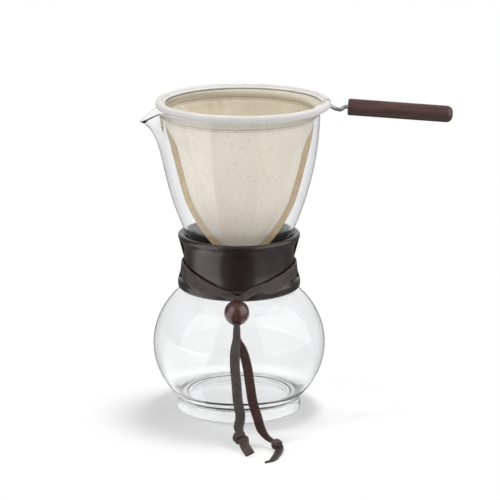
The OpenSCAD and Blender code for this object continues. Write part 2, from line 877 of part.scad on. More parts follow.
// Overcast thread along the outer edge of both seam allowances, round the pocket
module seam_thread() {
    // The rows of thread cover both cut edges, side by side
    cover_w = 2 * cloth_t;
    cover_t = 0.9;
    steps = 26;
    first_share = 0.13;
    side = [
        for (i = [0:steps])
            let (
                u = first_share + (last_share - first_share) * (1 - pow(1 - i / steps, 1.4)),
                p = edge_at(u) + cover_t / 2 * edge_out(u)
            )
            [p[0], p[1], pocket_mid(u)]
    ];
    path = concat(
        [for (p = side) [p[2] + p[0], 0, p[1]]],
        [for (x = [4, 0, -4]) [pocket_mid(1) + x, 0, pocket_low_z - 1.5 - cover_t / 2]],
        [for (i = [steps:-1:0]) [side[i][2] - side[i][0], 0, side[i][1]]]
    );
    stations = [for (p = path) [p, [0, 1, 0], cover_w, cover_t]];
    color([0.78, 0.72, 0.6]) strip(stations);
}

// Row of stitches through the doubled cloth, seen from outside
module hem_thread() {
    // The thread is drawn a little way into the cloth
    sink = 0.3;
    stitch_r = mouth_r + double_t / 2 + thread_d / 2 - sink;
    color([0.9, 0.87, 0.8])
        for (i = [0:stitch_count - 1])
            translate([mouth_shift, 0, ring_z - double_h])
                rotate([0, 0, (i + 0.5) * 360 / stitch_count])
                    translate([stitch_r, 0, 0])
                        cube([thread_d, stitch_l, thread_d], center = true);
}

glass_pot();
collar_front();
collar_rear();
thong_wrap();
thong_tail_left();
thong_tail_right();
thong_knot_left();
thong_knot_right();
bead();
filter_wire();
filter_grip();
cloth_hem();
cloth_front();
cloth_rear();
seam_thread();
hem_thread();
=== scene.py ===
"""Pour-over coffee pot with a cloth filter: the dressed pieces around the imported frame.

Lengths in the classes are millimetres, as a maker would give them, and are turned into metres
where a mesh is made. +Z is up, the grip points to +X, the spout to -X, the bead hangs at -Y.
"""
import logging
import math
from dataclasses import dataclass, replace
from enum import Enum
from typing import Mapping, Sequence

import bpy
import numpy as np
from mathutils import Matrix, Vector


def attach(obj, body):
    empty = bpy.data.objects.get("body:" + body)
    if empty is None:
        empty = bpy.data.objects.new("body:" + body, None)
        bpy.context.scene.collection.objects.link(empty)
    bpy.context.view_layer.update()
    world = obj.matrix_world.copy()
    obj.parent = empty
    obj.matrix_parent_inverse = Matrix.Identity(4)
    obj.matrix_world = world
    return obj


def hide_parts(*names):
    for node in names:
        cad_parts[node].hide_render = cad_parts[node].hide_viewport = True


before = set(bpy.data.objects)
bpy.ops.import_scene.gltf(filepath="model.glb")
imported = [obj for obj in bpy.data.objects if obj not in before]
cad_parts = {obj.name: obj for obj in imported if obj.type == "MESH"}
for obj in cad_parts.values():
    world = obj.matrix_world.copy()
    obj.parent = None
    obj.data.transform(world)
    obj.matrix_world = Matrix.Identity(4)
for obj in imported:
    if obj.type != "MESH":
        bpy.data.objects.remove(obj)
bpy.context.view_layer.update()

LOG = logging.getLogger("coffee_pot")
MM = 0.001
TAU = 2 * math.pi
WHITE = (1, 1, 1, 1)
SAMPLES_A_KNOT = 60
Socket = bpy.types.NodeSocket
Colour = tuple[float, float, float]


# small sums


def ease(t: np.ndarray | float) -> np.ndarray:
    """Smooth step from 0 to 1 over t from 0 to 1."""
    c = np.clip(t, 0, 1)
    return c * c * (3 - 2 * c)


def smooth_max(a: np.ndarray, b: np.ndarray, k: float) -> np.ndarray:
    """Larger of two values, blended over the width k where they are close."""
    return np.maximum(a, b) + np.maximum(k - np.abs(a - b), 0) ** 2 / (4 * k)


def unit(v: np.ndarray) -> np.ndarray:
    """Vectors along the last axis, made one long."""
    v = np.asarray(v, float)
    return v / np.maximum(np.linalg.norm(v, axis=-1, keepdims=True), 1e-12)


def curve_at(a: Sequence[float], b: Sequence[float], c: Sequence[float], t: np.ndarray) -> np.ndarray:
    """Points on the quadratic curve from a to c, drawn towards b, at shares t."""
    a, b, c = (np.asarray(p, float) for p in (a, b, c))
    t = np.asarray(t, float)[:, None]
    return (1 - t) ** 2 * a + 2 * t * (1 - t) * b + t * t * c


def run_along(points: np.ndarray) -> np.ndarray:
    """Length of a path up to each of its points."""
    return np.concatenate([[0], np.cumsum(np.linalg.norm(np.diff(points, axis=0), axis=1))])


def flat_grid(down: np.ndarray, across: np.ndarray) -> np.ndarray:
    """Flat coordinates of a grid, from its lengths down and across."""
    return np.stack(np.meshgrid(down, across, indexing="ij"), -1)


def spline(knots: Sequence[Sequence[float]], count: int) -> np.ndarray:
    """Smooth curve through knots, sampled evenly along its length.

    Args:
        knots: rows of x, y, z and any further values that go along with them.
        count: number of samples.

    Returns:
        count rows with the same columns.
    """
    k = np.asarray(knots, float)
    s = run_along(k[:, :3])
    slope = np.gradient(k, s, axis=0)
    t = np.linspace(0, s[-1], SAMPLES_A_KNOT * len(k))
    i = np.clip(np.searchsorted(s, t, "right") - 1, 0, len(k) - 2)
    h = (s[i + 1] - s[i])[:, None]
    u = (t[:, None] - s[i][:, None]) / h
    dense = (
        (2 * u**3 - 3 * u**2 + 1) * k[i]
        + (u**3 - 2 * u**2 + u) * h * slope[i]
        + (3 * u**2 - 2 * u**3) * k[i + 1]
        + (u**3 - u**2) * h * slope[i + 1]
    )
    run = run_along(dense[:, :3])
    even = np.linspace(0, run[-1], count)
    return np.stack([np.interp(even, run, column) for column in dense.T], axis=1)


def travel(points: np.ndarray) -> np.ndarray:
    """Unit way of travel at each point of a path."""
    return unit(np.gradient(points, axis=0))


def srgb(code: str) -> Colour:
    """Linear colour of a six-digit screen colour."""
    values = [int(code[i : i + 2], 16) / 255 for i in (0, 2, 4)]
    return tuple(v / 12.92 if v <= 0.04045 else ((v + 0.055) / 1.055) ** 2.4 for v in values)


# meshes


@dataclass
class Skin:
    """One closed skin in millimetres, of four-sided and three-sided faces.

    Attributes:
        points: its points.
        faces: lists of point numbers, first those of four and then those of three corners.
        flat: flat coordinates of each face's corners, in the same order.
        finish: finish number of each face.
        edge: for each point, how near it is to a cut edge or a seam, from 0 to 1.
    """

    points: np.ndarray
    faces: list[np.ndarray]
    flat: list[np.ndarray]
    finish: list[np.ndarray]
    edge: np.ndarray | None = None

    def facing_out(self) -> "Skin":
        """The same skin with its faces turned outwards."""
        volume = 0.0
        for faces in self.faces:
            for k in range(1, faces.shape[1] - 1):
                a, b, c = (self.points[faces[:, i]] for i in (0, k, k + 1))
                volume += float(np.sum(a * np.cross(b, c)))
        if volume >= 0:
            return self
        turned_round = [f[:, ::-1] for f in self.faces]
        return replace(self, faces=turned_round, flat=[f[:, ::-1] for f in self.flat])


def grid_skin(
    grid: np.ndarray,
    flat: np.ndarray | None = None,
    wrap_rows: bool = False,
    wrap_columns: bool = False,
    finish: np.ndarray | None = None,
    edge: np.ndarray | None = None,
) -> Skin:
    """Skin over a grid of points.

    Args:
        grid: points, rows by columns by three.
        flat: flat coordinates, one row or column more where that way wraps.
        wrap_rows: the last row joins the first.
        wrap_columns: the last column joins the first.
        finish: finish number of the faces in each column.
        edge: value from 0 to 1 for each point that says how near a cut edge it is.

    Returns:
        The skin, open where it doesn't wrap.
    """
    rows, columns = grid.shape[:2]
    if flat is None:
        flat = np.zeros((rows + wrap_rows, columns + wrap_columns, 2))
    down = np.arange(rows if wrap_rows else rows - 1)
    across = np.arange(columns if wrap_columns else columns - 1)
    i, j = (k.reshape(-1) for k in np.meshgrid(down, across, indexing="ij"))
    around = ((i, j), (i, j + 1), (i + 1, j + 1), (i + 1, j))
    faces = np.stack([(a % rows) * columns + b % columns for a, b in around], 1)
    corners = np.stack([flat[a, b] for a, b in around], 1)
    numbers = np.zeros(len(faces), int) if finish is None else finish[j]
    points = grid.reshape(-1, 3).astype(float)
    return Skin(points, [faces], [corners], [numbers], None if edge is None else edge.reshape(-1))


def cap(skin: Skin, ring: Sequence[int], finish: int = 0, bulge: Sequence[float] = (0, 0, 0)) -> None:
    """Close a ring of a skin's points with a fan.

    Args:
        skin: the skin, changed in place.
        ring: the ring's point numbers in the order that faces the way out.
        finish: finish number of the fan.
        bulge: how far the fan's middle stands out of the ring.
    """
    ring = np.asarray(list(ring), int)
    middle = skin.points[ring].mean(axis=0) + np.asarray(bulge, float)
    skin.points = np.vstack([skin.points, middle])
    if skin.edge is not None:
        skin.edge = np.append(skin.edge, 1.0)
    fan = np.stack([np.full(len(ring), len(skin.points) - 1), ring, np.roll(ring, -1)], 1)
    place = skin.points[fan]
    skin.faces.append(fan)
    skin.flat.append(np.stack([place[..., 0], place[..., 1] + place[..., 2]], -1))
    skin.finish.append(np.full(len(fan), finish))


def close_ends(
    skin: Skin, count: int, finish: int = 0, bulges: Sequence[Sequence[float]] = ((0, 0, 0), (0, 0, 0))
) -> None:
    """Close the first and the last ring of a tube.

    Args:
        skin: the tube's skin, changed in place.
        count: points in each ring.
        finish: finish number of both ends.
        bulges: how far the middle of each end stands out.
    """
    last = len(skin.points) - count
    cap(skin, range(count - 1, -1, -1), finish, bulges[0])
    cap(skin, range(last, last + count), finish, bulges[1])


def make_object(
    name: str,
    skins: Sequence[Skin],
    finishes: Sequence[bpy.types.Material],
    sharp: float = 45.0,
) -> bpy.types.Object:
    """Make one mesh object of closed skins.

    Args:
        name: the piece's name.
        skins: its skins, in millimetres.
        finishes: its materials, by finish number.
        sharp: edges that turn by more than this many degrees stay sharp.

    Returns:
        The object at the origin, its place in its mesh.
    """
    points, faces, flat, finish, edge, start = [], [], [], [], [], 0
    for skin in (s.facing_out() for s in skins):
        points.append(skin.points)
        for part, place, number in zip(skin.faces, skin.flat, skin.finish):
            faces.extend((part + start).tolist())
            flat.append(place.reshape(-1, 2))
            finish.append(number)
        edge.append(np.zeros(len(skin.points)) if skin.edge is None else skin.edge)
        start += len(skin.points)
    mesh = bpy.data.meshes.new(name)
    mesh.from_pydata((np.vstack(points) * MM).tolist(), [], faces)
    layer = mesh.uv_layers.new(name="flat")
    layer.data.foreach_set("uv", (np.vstack(flat) * MM).astype(np.float32).reshape(-1))
    edge_marks = mesh.attributes.new("edge", "FLOAT", "POINT")
    edge_marks.data.foreach_set("value", np.concatenate(edge).astype(np.float32))
    for material in finishes:
        mesh.materials.append(material)
    mesh.polygons.foreach_set("material_index", np.concatenate(finish).astype(np.int32))
    mesh.shade_smooth()
    mesh.set_sharp_from_angle(angle=math.radians(sharp))
    mesh.update()
    return stood(name, mesh)


def stood(name: str, data: bpy.types.ID) -> bpy.types.Object:
    """New object of a mesh, a light or a camera, stood in the scene."""
    piece = bpy.data.objects.new(name, data)
    bpy.context.scene.collection.objects.link(piece)
    return piece


def turned(
    profile: np.ndarray,
    steps: int,
    middle: Sequence[float] = (0, 0, 0),
    axis: Sequence[float] = (0, 0, 1),
    side: Sequence[float] = (1, 0, 0),
) -> Skin:
    """Turned solid from an outline of radius and height that starts and ends on the axis.

    Args:
        profile: rows of radius and height; first and last radius are nil.
        steps: steps round.
        middle: the origin of the outline.
        axis: way up.
        side: any way across the axis, where the steps start.

    Returns:
        The closed skin.
    """
    up = unit(np.asarray(axis, float))
    right = unit(np.asarray(side, float) - np.dot(side, up) * up)
    front = np.cross(up, right)
    a = np.linspace(0, TAU, steps, endpoint=False)
    ring = np.cos(a)[:, None] * right + np.sin(a)[:, None] * front
    inner = profile[1:-1]
    middle = np.asarray(middle, float)
    grid = middle + inner[:, 0, None, None] * ring[None] + inner[:, 1, None, None] * up
    flat = flat_grid(run_along(inner), np.linspace(0, TAU * inner[:, 0].max(), steps + 1))[..., ::-1]
    skin = grid_skin(grid, flat, wrap_columns=True)
    ends = middle + profile[[0, -1], 1][:, None] * up
    rings = skin.points[:steps], skin.points[-steps:]
    close_ends(skin, steps, bulges=[end - near.mean(axis=0) for end, near in zip(ends, rings)])
    return skin


def round_bar(path: np.ndarray, radius: float, steps: int) -> Skin:
    """Round bar swept along a path, with flat ends.

    Args:
        path: points of the middle line.
        radius: radius of the bar.
        steps: steps round.

    Returns:
        The closed skin.
    """
    way = travel(path)
    side = unit(np.cross(way[0], [0.3, 0.2, 1]))
    sides = [side]
    for w in way[1:]:
        side = unit(side - np.dot(side, w) * w)
        sides.append(side)
    sides = np.array(sides)
    other = np.cross(way, sides)
    a = np.linspace(0, TAU, steps, endpoint=False)
    round_way = np.cos(a)[None, :, None] * sides[:, None] + np.sin(a)[None, :, None] * other[:, None]
    flat = flat_grid(run_along(path), np.linspace(0, TAU * radius, steps + 1))
    skin = grid_skin(path[:, None] + radius * round_way, flat, wrap_columns=True)
    close_ends(skin, steps)
    return skin


class Face(Enum):
    """The two faces of a strip of leather."""

    GRAIN = 0
    SUEDE = 1


@dataclass
class Strip:
    """A flat leather strip: stations along it, with its face's way out at each.

    Attributes:
        middle: its middle line.
        face: way out of its face at each station.
        width: its width at each station.
        thickness: its thickness.
        cup: how far its edges stand up at each station.
        corners: steps round each cut edge, as shares of a quarter turn.
    """

    middle: np.ndarray
    face: np.ndarray
    width: np.ndarray
    thickness: float
    cup: np.ndarray
    corners: tuple[float, ...] = (0.45, 0.8)

    def skin(self, front: Face = Face.GRAIN, across_steps: int = 10) -> Skin:
        """Closed skin of the strip.

        Args:
            front: which face of the leather looks out.
            across_steps: steps across its width.

        Returns:
            The skin, its grain face with finish 0, its suede face and cut edges with finish 1.
        """
        way = travel(self.middle)
        face = unit(self.face - np.sum(self.face * way, axis=1, keepdims=True) * way)
        across = np.cross(way, face)
        share = np.linspace(-1, 1, across_steps + 1)
        columns = []
        for side, row in ((1, share), (-1, -share)):
            columns += [(x, side, 0.0) for x in row] + [(row[-1], side, out) for out in self.corners]
        n, count = len(self.middle), len(columns)
        grid = np.zeros((n, count, 3))
        edge = np.zeros((n, count))
        round_off = self.thickness * 0.45
        for j, (x, side, out) in enumerate(columns):
            bow = self.cup * (x * x)
            lift = self.thickness / 2 * math.cos(out * math.pi / 2) * side
            along = x * (self.width / 2 - round_off) + np.sign(x) * round_off * math.sin(out * math.pi / 2)
            arc = 2 * bow * x / np.maximum(self.width / 2, 1e-6)
            grid[:, j] = self.middle + (along - lift * arc)[:, None] * across + (lift + bow)[:, None] * face
            edge[:, j] = np.clip((abs(x) - 0.6) / 0.4, 0, 1)
        places = np.array([x for x, _, _ in columns] + [columns[0][0]])
        run = np.broadcast_to(run_along(self.middle)[:, None], (n, len(places)))
        flat = np.stack([run, places[None, :] * self.width[:, None] / 2], axis=-1)
        finish = np.ones(count, int)
        start = count // 2 if front is Face.SUEDE else 0
        finish[start : start + across_steps] = 0
        skin = grid_skin(grid, flat, wrap_columns=True, finish=finish, edge=edge)
        close_ends(skin, count, finish=1)
        return skin


# finishes


def add_node(tree: bpy.types.NodeTree, kind: str, inputs: dict, settings: dict) -> bpy.types.Node:
    """Add a node to a tree.

    Args:
        tree: the tree.
        kind: the node's type.
        inputs: values or sockets for its inputs, by name or number.
        settings: the node's own settings.

    Returns:
        The node.
    """
    node = tree.nodes.new(kind)
    for key, value in settings.items():
        setattr(node, key, value)
    for key, value in inputs.items():
        if isinstance(value, bpy.types.NodeSocket):
            tree.links.new(value, node.inputs[key])
        else:
            node.inputs[key].default_value = value
    return node


class Nodes:
    """The node tree of a material or of the room, with short calls for what the finishes share."""

    def __init__(self, owner: bpy.types.Material | bpy.types.World) -> None:
        """Start an empty tree on a material or a world."""
        self.owner = owner
        owner.use_nodes = True
        self.tree = owner.node_tree
        self.tree.nodes.clear()

    def add(self, kind: str, inputs: dict | None = None, **settings: object) -> bpy.types.Node:
        """Add a shader node, its type without ShaderNode in front."""
        return add_node(self.tree, "ShaderNode" + kind, inputs or {}, settings)

    def out(self, kind: str, inputs: dict | None = None, **settings: object) -> Socket:
        """First output of a new node."""
        return self.add(kind, inputs, **settings).outputs[0]

    def place(self, flat: bool = False) -> Socket:
        """Coordinates in metres: the piece's own, or its flat ones."""
        if flat:
            return self.out("UVMap", uv_map="flat")
        return self.add("TexCoord").outputs["Object"]

    def split(self, place: Socket) -> tuple[Socket, ...]:
        """The three parts of a place."""
        return tuple(self.add("SeparateXYZ", {"Vector": place}).outputs)

    def edge(self) -> Socket:
        """How near the surface is to a cut edge or a seam."""
        return self.add("Attribute", attribute_name="edge").outputs["Fac"]

    def mapped(
        self,
        place: Socket,
        scale: Sequence[float] = (1, 1, 1),
        turn: Sequence[float] = (0, 0, 0),
        shift: Sequence[float] = (0, 0, 0),
    ) -> Socket:
        """Coordinates shifted, turned by degrees and stretched."""
        turn = tuple(math.radians(d) for d in turn)
        return self.out("Mapping", {"Vector": place, "Location": shift, "Rotation": turn, "Scale": scale})

    def noise(
        self, place: Socket, scale: float, detail: float = 2.0, rough: float = 0.5, twist: float = 0.0
    ) -> Socket:
        """Cloudy noise from 0 to 1."""
        sizes = {"Scale": scale, "Detail": detail, "Roughness": rough, "Distortion": twist}
        return self.out("TexNoise", {"Vector": place, **sizes})

    def cells(self, place: Socket, scale: float, feature: str = "F1", ways: str = "3D") -> Socket:
        """Distance in a pattern of cells."""
        settings = {"feature": feature, "voronoi_dimensions": ways}
        return self.add("TexVoronoi", {"Vector": place, "Scale": scale}, **settings).outputs["Distance"]

    def ramp(self, fac: Socket, *stops: tuple[float, Sequence[float] | float]) -> Socket:
        """Colour or grey that follows a value through stops."""
        node = self.add("ValToRGB", {"Fac": fac})
        elements = node.color_ramp.elements
        while len(elements) < len(stops):
            elements.new(0.5)
        for element, (at, value) in zip(elements, stops):
            element.position = at
            grey = isinstance(value, (int, float))
            element.color = (value, value, value, 1) if grey else (*value, 1)
        return node.outputs["Color"]

    def grade(self, value: Socket, low: float, high: float, first: float = 0.0, last: float = 1.0) -> Socket:
        """Number that goes evenly from first to last while a value goes from low to high."""
        return self.out("MapRange", {"Value": value, 1: low, 2: high, 3: first, 4: last})

    def blend(self, fac: Socket | float, a: Socket | Colour, b: Socket | Colour) -> Socket:
        """Mix of two colours."""
        a, b = (c if isinstance(c, bpy.types.NodeSocket) else (*c, 1) for c in (a, b))
        return self.add("Mix", {0: fac, 6: a, 7: b}, data_type="RGBA").outputs[2]

    def sum(self, kind: str, a: Socket | float, b: Socket | float = 0.0) -> Socket:
        """Result of one sum on one or two numbers."""
        return self.out("Math", {0: a, 1: b}, operation=kind)

    def either(self, fac: Socket | float, a: Socket, b: Socket) -> Socket:
        """Mix of two shaders."""
        return self.out("MixShader", {0: fac, 1: a, 2: b})

    def shine(self, strength: Socket | float, kind: str = "Emission") -> Socket:
        """White light of a strength."""
        return self.out(kind, {"Color": WHITE, "Strength": strength})

    def bump(self, height: Socket, depth: float, strength: float) -> Socket:
        """Normal of a surface raised by height, depth metres deep."""
        return self.out("Bump", {"Height": height, "Distance": depth, "Strength": strength})

    def body(self, tone: Socket, rough: Socket, normal: Socket, **others: float) -> Socket:
        """A surface with a colour, a roughness and a relief.

        Args:
            tone: its colour.
            rough: its roughness.
            normal: its relief.
            others: further inputs of the shader, by name with _ for a blank.

        Returns:
            The shader's socket.
        """
        inputs = {"Base Color": tone, "Roughness": rough, "Normal": normal}
        return self.out("BsdfPrincipled", inputs | {k.replace("_", " "): v for k, v in others.items()})

    def finish(self, shader: Socket) -> bpy.types.Material:
        """Set the surface and return the material."""
        self.add("OutputMaterial", {"Surface": shader})
        return self.owner


def new_finish(name: str) -> Nodes:
    """Nodes of a new material."""
    return Nodes(bpy.data.materials.new(name))


@dataclass(frozen=True)
class GlassFinish:
    """Clear heat-proof glass that lets light through; painted shade turns it grey at its edges and rim,
    where it slants from the view.
    """

    name: str = "clear_glass"
    bend: float = 1.47
    middle: Colour = (0.965, 0.97, 0.972)
    slanted_painted_grey: Colour = (0.945, 0.95, 0.953)
    edge_painted_grey: float = 0.7
    shade_from: float = 0.10
    shade_by: float = 0.12
    shade_low: float = 0.7
    shade_high: float = 0.96
    shade_edge: float = 0.2

    def make(self) -> bpy.types.Material:
        """Build the material."""
        n = new_finish(self.name)
        place = n.place()
        facing = n.add("LayerWeight", {"Blend": 0.5}).outputs["Facing"]
        # painted shade: the colour goes grey as the surface turns from the view
        tone = n.ramp(facing, (0.0, self.middle), (0.7, self.slanted_painted_grey), (1.0, (self.edge_painted_grey,) * 3))
        streak = n.noise(n.mapped(place, (1, 1, 0.25)), 60, 2)
        rough = n.ramp(streak, (0.35, 0.0), (0.8, 0.01))
        wave = n.noise(place, 16, 1)
        glass = n.body(tone, rough, n.bump(wave, 0.0003, 0.12), IOR=self.bend, Transmission_Weight=1.0)
        height = n.split(place)[2]
        passed = n.grade(height, self.shade_from, self.shade_by, self.shade_low, self.shade_high)
        clear = n.ramp(facing, (0.55, 1.0), (1.0, self.shade_edge))
        see = n.out("BsdfTransparent", {"Color": n.sum("MULTIPLY", passed, clear)})
        shadow = n.add("LightPath").outputs["Is Shadow Ray"]
        return n.finish(n.either(shadow, glass, see))


@dataclass(frozen=True)
class WoodFinish:
    """Stained and lacquered wood with long grain and open pores."""

    name: str
    dark: str
    light: str
    turn: tuple[float, float, float]
    grain: float
    gloss: float
    coat: float
    coat_rough: float
    relief: float

    def make(self) -> bpy.types.Material:
        """Build the material."""
        n = new_finish(self.name)
        place = n.mapped(n.place(), turn=self.turn)
        rings = n.noise(n.mapped(place, (0.06, 1, 1)), self.grain, 3, 0.6, 0.4)
        broad = n.noise(n.mapped(place, (0.2, 1, 1)), self.grain * 0.22, 2, 0.5, 0.6)
        pores = n.noise(n.mapped(place, (0.05, 1, 1)), self.grain * 7, 2, 0.7)
        tone = n.ramp(rings, (0.3, srgb(self.dark)), (0.72, srgb(self.light)))
        deep = tuple(c * 0.55 for c in srgb(self.dark))
        tone = n.blend(n.ramp(broad, (0.35, 0.0), (0.7, 0.55)), tone, deep)
        pore_mask = n.ramp(pores, (0.3, 1.0), (0.42, 0.0))
        tone = n.blend(n.sum("MULTIPLY", pore_mask, 0.6), tone, tuple(c * 0.4 for c in deep))
        rough = n.ramp(n.noise(place, 90, 3), (0.3, self.gloss * 0.85), (0.7, self.gloss * 1.2))
        height = n.sum("SUBTRACT", n.sum("MULTIPLY", rings, 0.4), pore_mask)
        normal = n.bump(height, 0.0001, self.relief)
        coat = {"Coat_Weight": self.coat, "Coat_Roughness": self.coat_rough}
        return n.finish(n.body(tone, rough, normal, **coat))


@dataclass(frozen=True)
class LeatherFinish:
    """Dyed leather: a pebbled grain face or a napped suede face."""

    name: str
    face: Face
    tone: str
    pale: str

    def make(self) -> bpy.types.Material:
        """Build the material."""
        n = new_finish(self.name)
        place = n.place()
        base = n.ramp(n.noise(place, 170, 4, 0.6), (0.3, srgb(self.tone)), (0.75, srgb(self.pale)))
        # paler in patches near the cut edges
        pale_edge = n.sum("MULTIPLY", n.edge(), n.ramp(n.noise(place, 700, 3), (0.45, 0.0), (0.65, 0.55)))
        base = n.blend(pale_edge, base, tuple(min(1, c * 2.1) for c in srgb(self.pale)))
        dress = self.grain if self.face is Face.GRAIN else self.suede
        return n.finish(dress(n, place, base))

    @staticmethod
    def grain(n: Nodes, place: Socket, base: Socket) -> Socket:
        """Shader of the pebbled and creased face."""
        pebble = n.ramp(n.cells(place, 1500, "DISTANCE_TO_EDGE"), (0.0, 0.0), (0.16, 1.0))
        crease = n.noise(place, 420, 3, 0.65, 1.2)
        base = n.blend(n.ramp(pebble, (0.0, 0.5), (1.0, 0.0)), base, (0.004, 0.003, 0.003))
        normal = n.bump(n.sum("ADD", n.sum("MULTIPLY", pebble, 0.4), crease), 0.00022, 0.55)
        rough = n.ramp(crease, (0.3, 0.5), (0.7, 0.72))
        return n.body(base, rough, normal, Specular_IOR_Level=0.45)

    @staticmethod
    def suede(n: Nodes, place: Socket, base: Socket) -> Socket:
        """Shader of the napped face."""
        nap = n.noise(n.mapped(place, (1, 1, 0.35)), 3200, 4, 0.75)
        tuft = n.noise(place, 900, 3, 0.6)
        base = n.blend(n.ramp(nap, (0.3, 0.6), (0.62, 0.0)), base, (0.006, 0.003, 0.003))
        normal = n.bump(n.sum("ADD", nap, tuft), 0.0003, 0.8)
        rough = n.ramp(tuft, (0.3, 0.85), (0.7, 1.0))
        sheen = {"Specular_IOR_Level": 0.2, "Sheen_Weight": 0.35, "Sheen_Roughness": 0.5}
        return n.body(base, rough, normal, **sheen)


@dataclass(frozen=True)
class WireFinish:
    """Drawn stainless wire with fine marks round and along it."""

    name: str = "drawn_wire"

    def make(self) -> bpy.types.Material:
        """Build the material."""
        n = new_finish(self.name)
        marks = n.noise(n.mapped(n.place(flat=True), (0.04, 1, 1)), 9000, 3, 0.6)
        tone = n.ramp(n.noise(n.place(), 300, 3), (0.3, srgb("b4b4b8")), (0.7, srgb("d2d2d4")))
        rough = n.ramp(marks, (0.3, 0.16), (0.7, 0.3))
        return n.finish(n.body(tone, rough, n.bump(marks, 0.00003, 0.3), Metallic=1.0))


@dataclass(frozen=True)
class ClothFinish:
    """Napped cotton: a close weave, stray specks of husk and a soft fuzz.

    Attributes:
        name: the material's name.
        tone: its main colour.
        warm: its second colour.
        pitch: pitch of the weave in millimetres.
        specks: strength of the specks.
        through: share of the light that goes through.
        rows: heights of the stitches at the front and the rear in millimetres, or nothing.
        doubled: colour of the doubled cloth over the stitches: its other face, and painted shade from the
            hem over it.
        husks: for each kind of speck its cells in a metre, the shares of a cell, and its colour.
        seam_tone_and_shade: colour of the seam allowance: yellower for its thread and doubled cloth, and
            darker as painted shade.
        row_shade_tone: colour of the painted shade along the stitch row, which shows dark between the
            stitches.
        fold_shadow_tone: colour of the painted shadow line under the stitches, where the fold's edge lies.
        fold_shadow_drop: how far that painted shadow line lies under the stitches in millimetres.
    """

    name: str
    tone: str
    warm: str
    pitch: float = 0.62
    specks: float = 0.5
    through: float = 0.18
    rows: tuple[float, float] | None = None
    doubled: str = "bdb9b1"
    husks: tuple = ((115, 0.03, 0.05, "7d633e"), (230, 0.04, 0.08, "a58a5e"))
    seam_tone_and_shade: str = "b08c4c"
    row_shade_tone: str = "6f5f43"
    fold_shadow_tone: str = "857350"
    fold_shadow_drop: float = 1.3

    def sewn(self, n: Nodes, place: Socket, tone: Socket) -> Socket:
        """Paint shade along the stitches, a shadow line under them and shade over them under the hem, and
        give the seam allowance its colour and painted shade.

        Args:
            n: the cloth's nodes.
            place: the piece's own coordinates.
            tone: the cloth's colour.

        Returns:
            The colour with the marks.
        """
        # the seam allowance, in patches: yellower for its thread and doubled cloth, darker as painted shade
        edge_marks = n.noise(place, 260, 3, 0.6)
        share = n.sum("MULTIPLY", n.edge(), n.ramp(edge_marks, (0.3, 0.55), (0.7, 1.0)))
        tone = n.blend(share, tone, srgb(self.seam_tone_and_shade))
        _, depth, height = n.split(place)
        row = n.grade(depth, -0.03, 0.03, self.rows[0] * MM, self.rows[1] * MM)
        up = n.sum("MULTIPLY", n.sum("SUBTRACT", height, row), 1 / MM)
        # over the stitches: the doubled cloth's other face, with painted shade from the hem over it
        above = n.ramp(n.sum("ADD", up, 0.5), (0.4, 0.0), (0.6, 0.42))
        tone = n.blend(above, tone, srgb(self.doubled))
        # painted shade along the stitch row, dark between the stitches
        off_row = n.sum("ABSOLUTE", up)
        tone = n.blend(n.ramp(off_row, (0.25, 0.75), (0.5, 0.0)), tone, srgb(self.row_shade_tone))
        # painted shadow of the fold's edge: a dark line under the stitches
        fold = n.sum("ABSOLUTE", n.sum("ADD", up, self.fold_shadow_drop))
        return n.blend(n.ramp(fold, (0.15, 0.4), (0.45, 0.0)), tone, srgb(self.fold_shadow_tone))

    def woven(self, n: Nodes, flat: Socket) -> Socket:
        """Relief of the weave, from -1 to 1, on flat coordinates."""
        turns = TAU / (self.pitch * MM)
        wander = n.sum("MULTIPLY", n.noise(flat, 900, 2), 1.6)
        across, down, _ = n.split(flat)
        warp, weft = (
            n.sum("SINE", n.sum("ADD", n.sum("MULTIPLY", way, turns), wander)) for way in (across, down)
        )
        return n.sum("MULTIPLY", warp, weft)

    def make(self) -> bpy.types.Material:
        """Build the material."""
        n = new_finish(self.name)
        flat, place = n.place(flat=True), n.place()
        weave = self.woven(n, flat)
        fuzz = n.noise(place, 2600, 4, 0.7)
        tone = n.ramp(n.noise(place, 45, 4, 0.55), (0.3, srgb(self.tone)), (0.7, srgb(self.warm)))
        slub = n.noise(n.mapped(flat, (0.12, 1, 1)), 1500, 3, 0.6)
        mottle = n.noise(place, 420, 3, 0.65)
        for share, colour in (
            (n.ramp(slub, (0.52, 0.0), (0.78, 0.22)), "b9a988"),
            (n.ramp(weave, (0.0, 0.12), (0.5, 0.0)), "a89878"),
            (n.ramp(mottle, (0.45, 0.0), (0.75, 0.25)), "c9baa0"),
        ):
            tone = n.blend(share, tone, srgb(colour))
        for scale, first, last, dark in self.husks:
            spot = n.ramp(n.cells(flat, scale, ways="2D"), (first, 1.0), (last, 0.0))
            chosen = n.ramp(n.noise(flat, scale * 0.7, 1), (0.44, 0.0), (0.5, 1.0))
            share = n.sum("MULTIPLY", n.sum("MULTIPLY", spot, chosen), self.specks)
            tone = n.blend(share, tone, srgb(dark))
        if self.rows:
            tone = self.sewn(n, place, tone)
        normal = n.bump(n.sum("ADD", n.sum("MULTIPLY", weave, 0.35), fuzz), 0.00022, 0.6)
        rough = n.ramp(fuzz, (0.3, 0.88), (0.7, 1.0))
        sheen = {"Specular_IOR_Level": 0.2, "Sheen_Weight": 0.25, "Sheen_Roughness": 0.6}
        glow = n.out("BsdfTranslucent", {"Color": tone, "Normal": normal})
        return n.finish(n.either(self.through, n.body(tone, rough, normal, **sheen), glow))


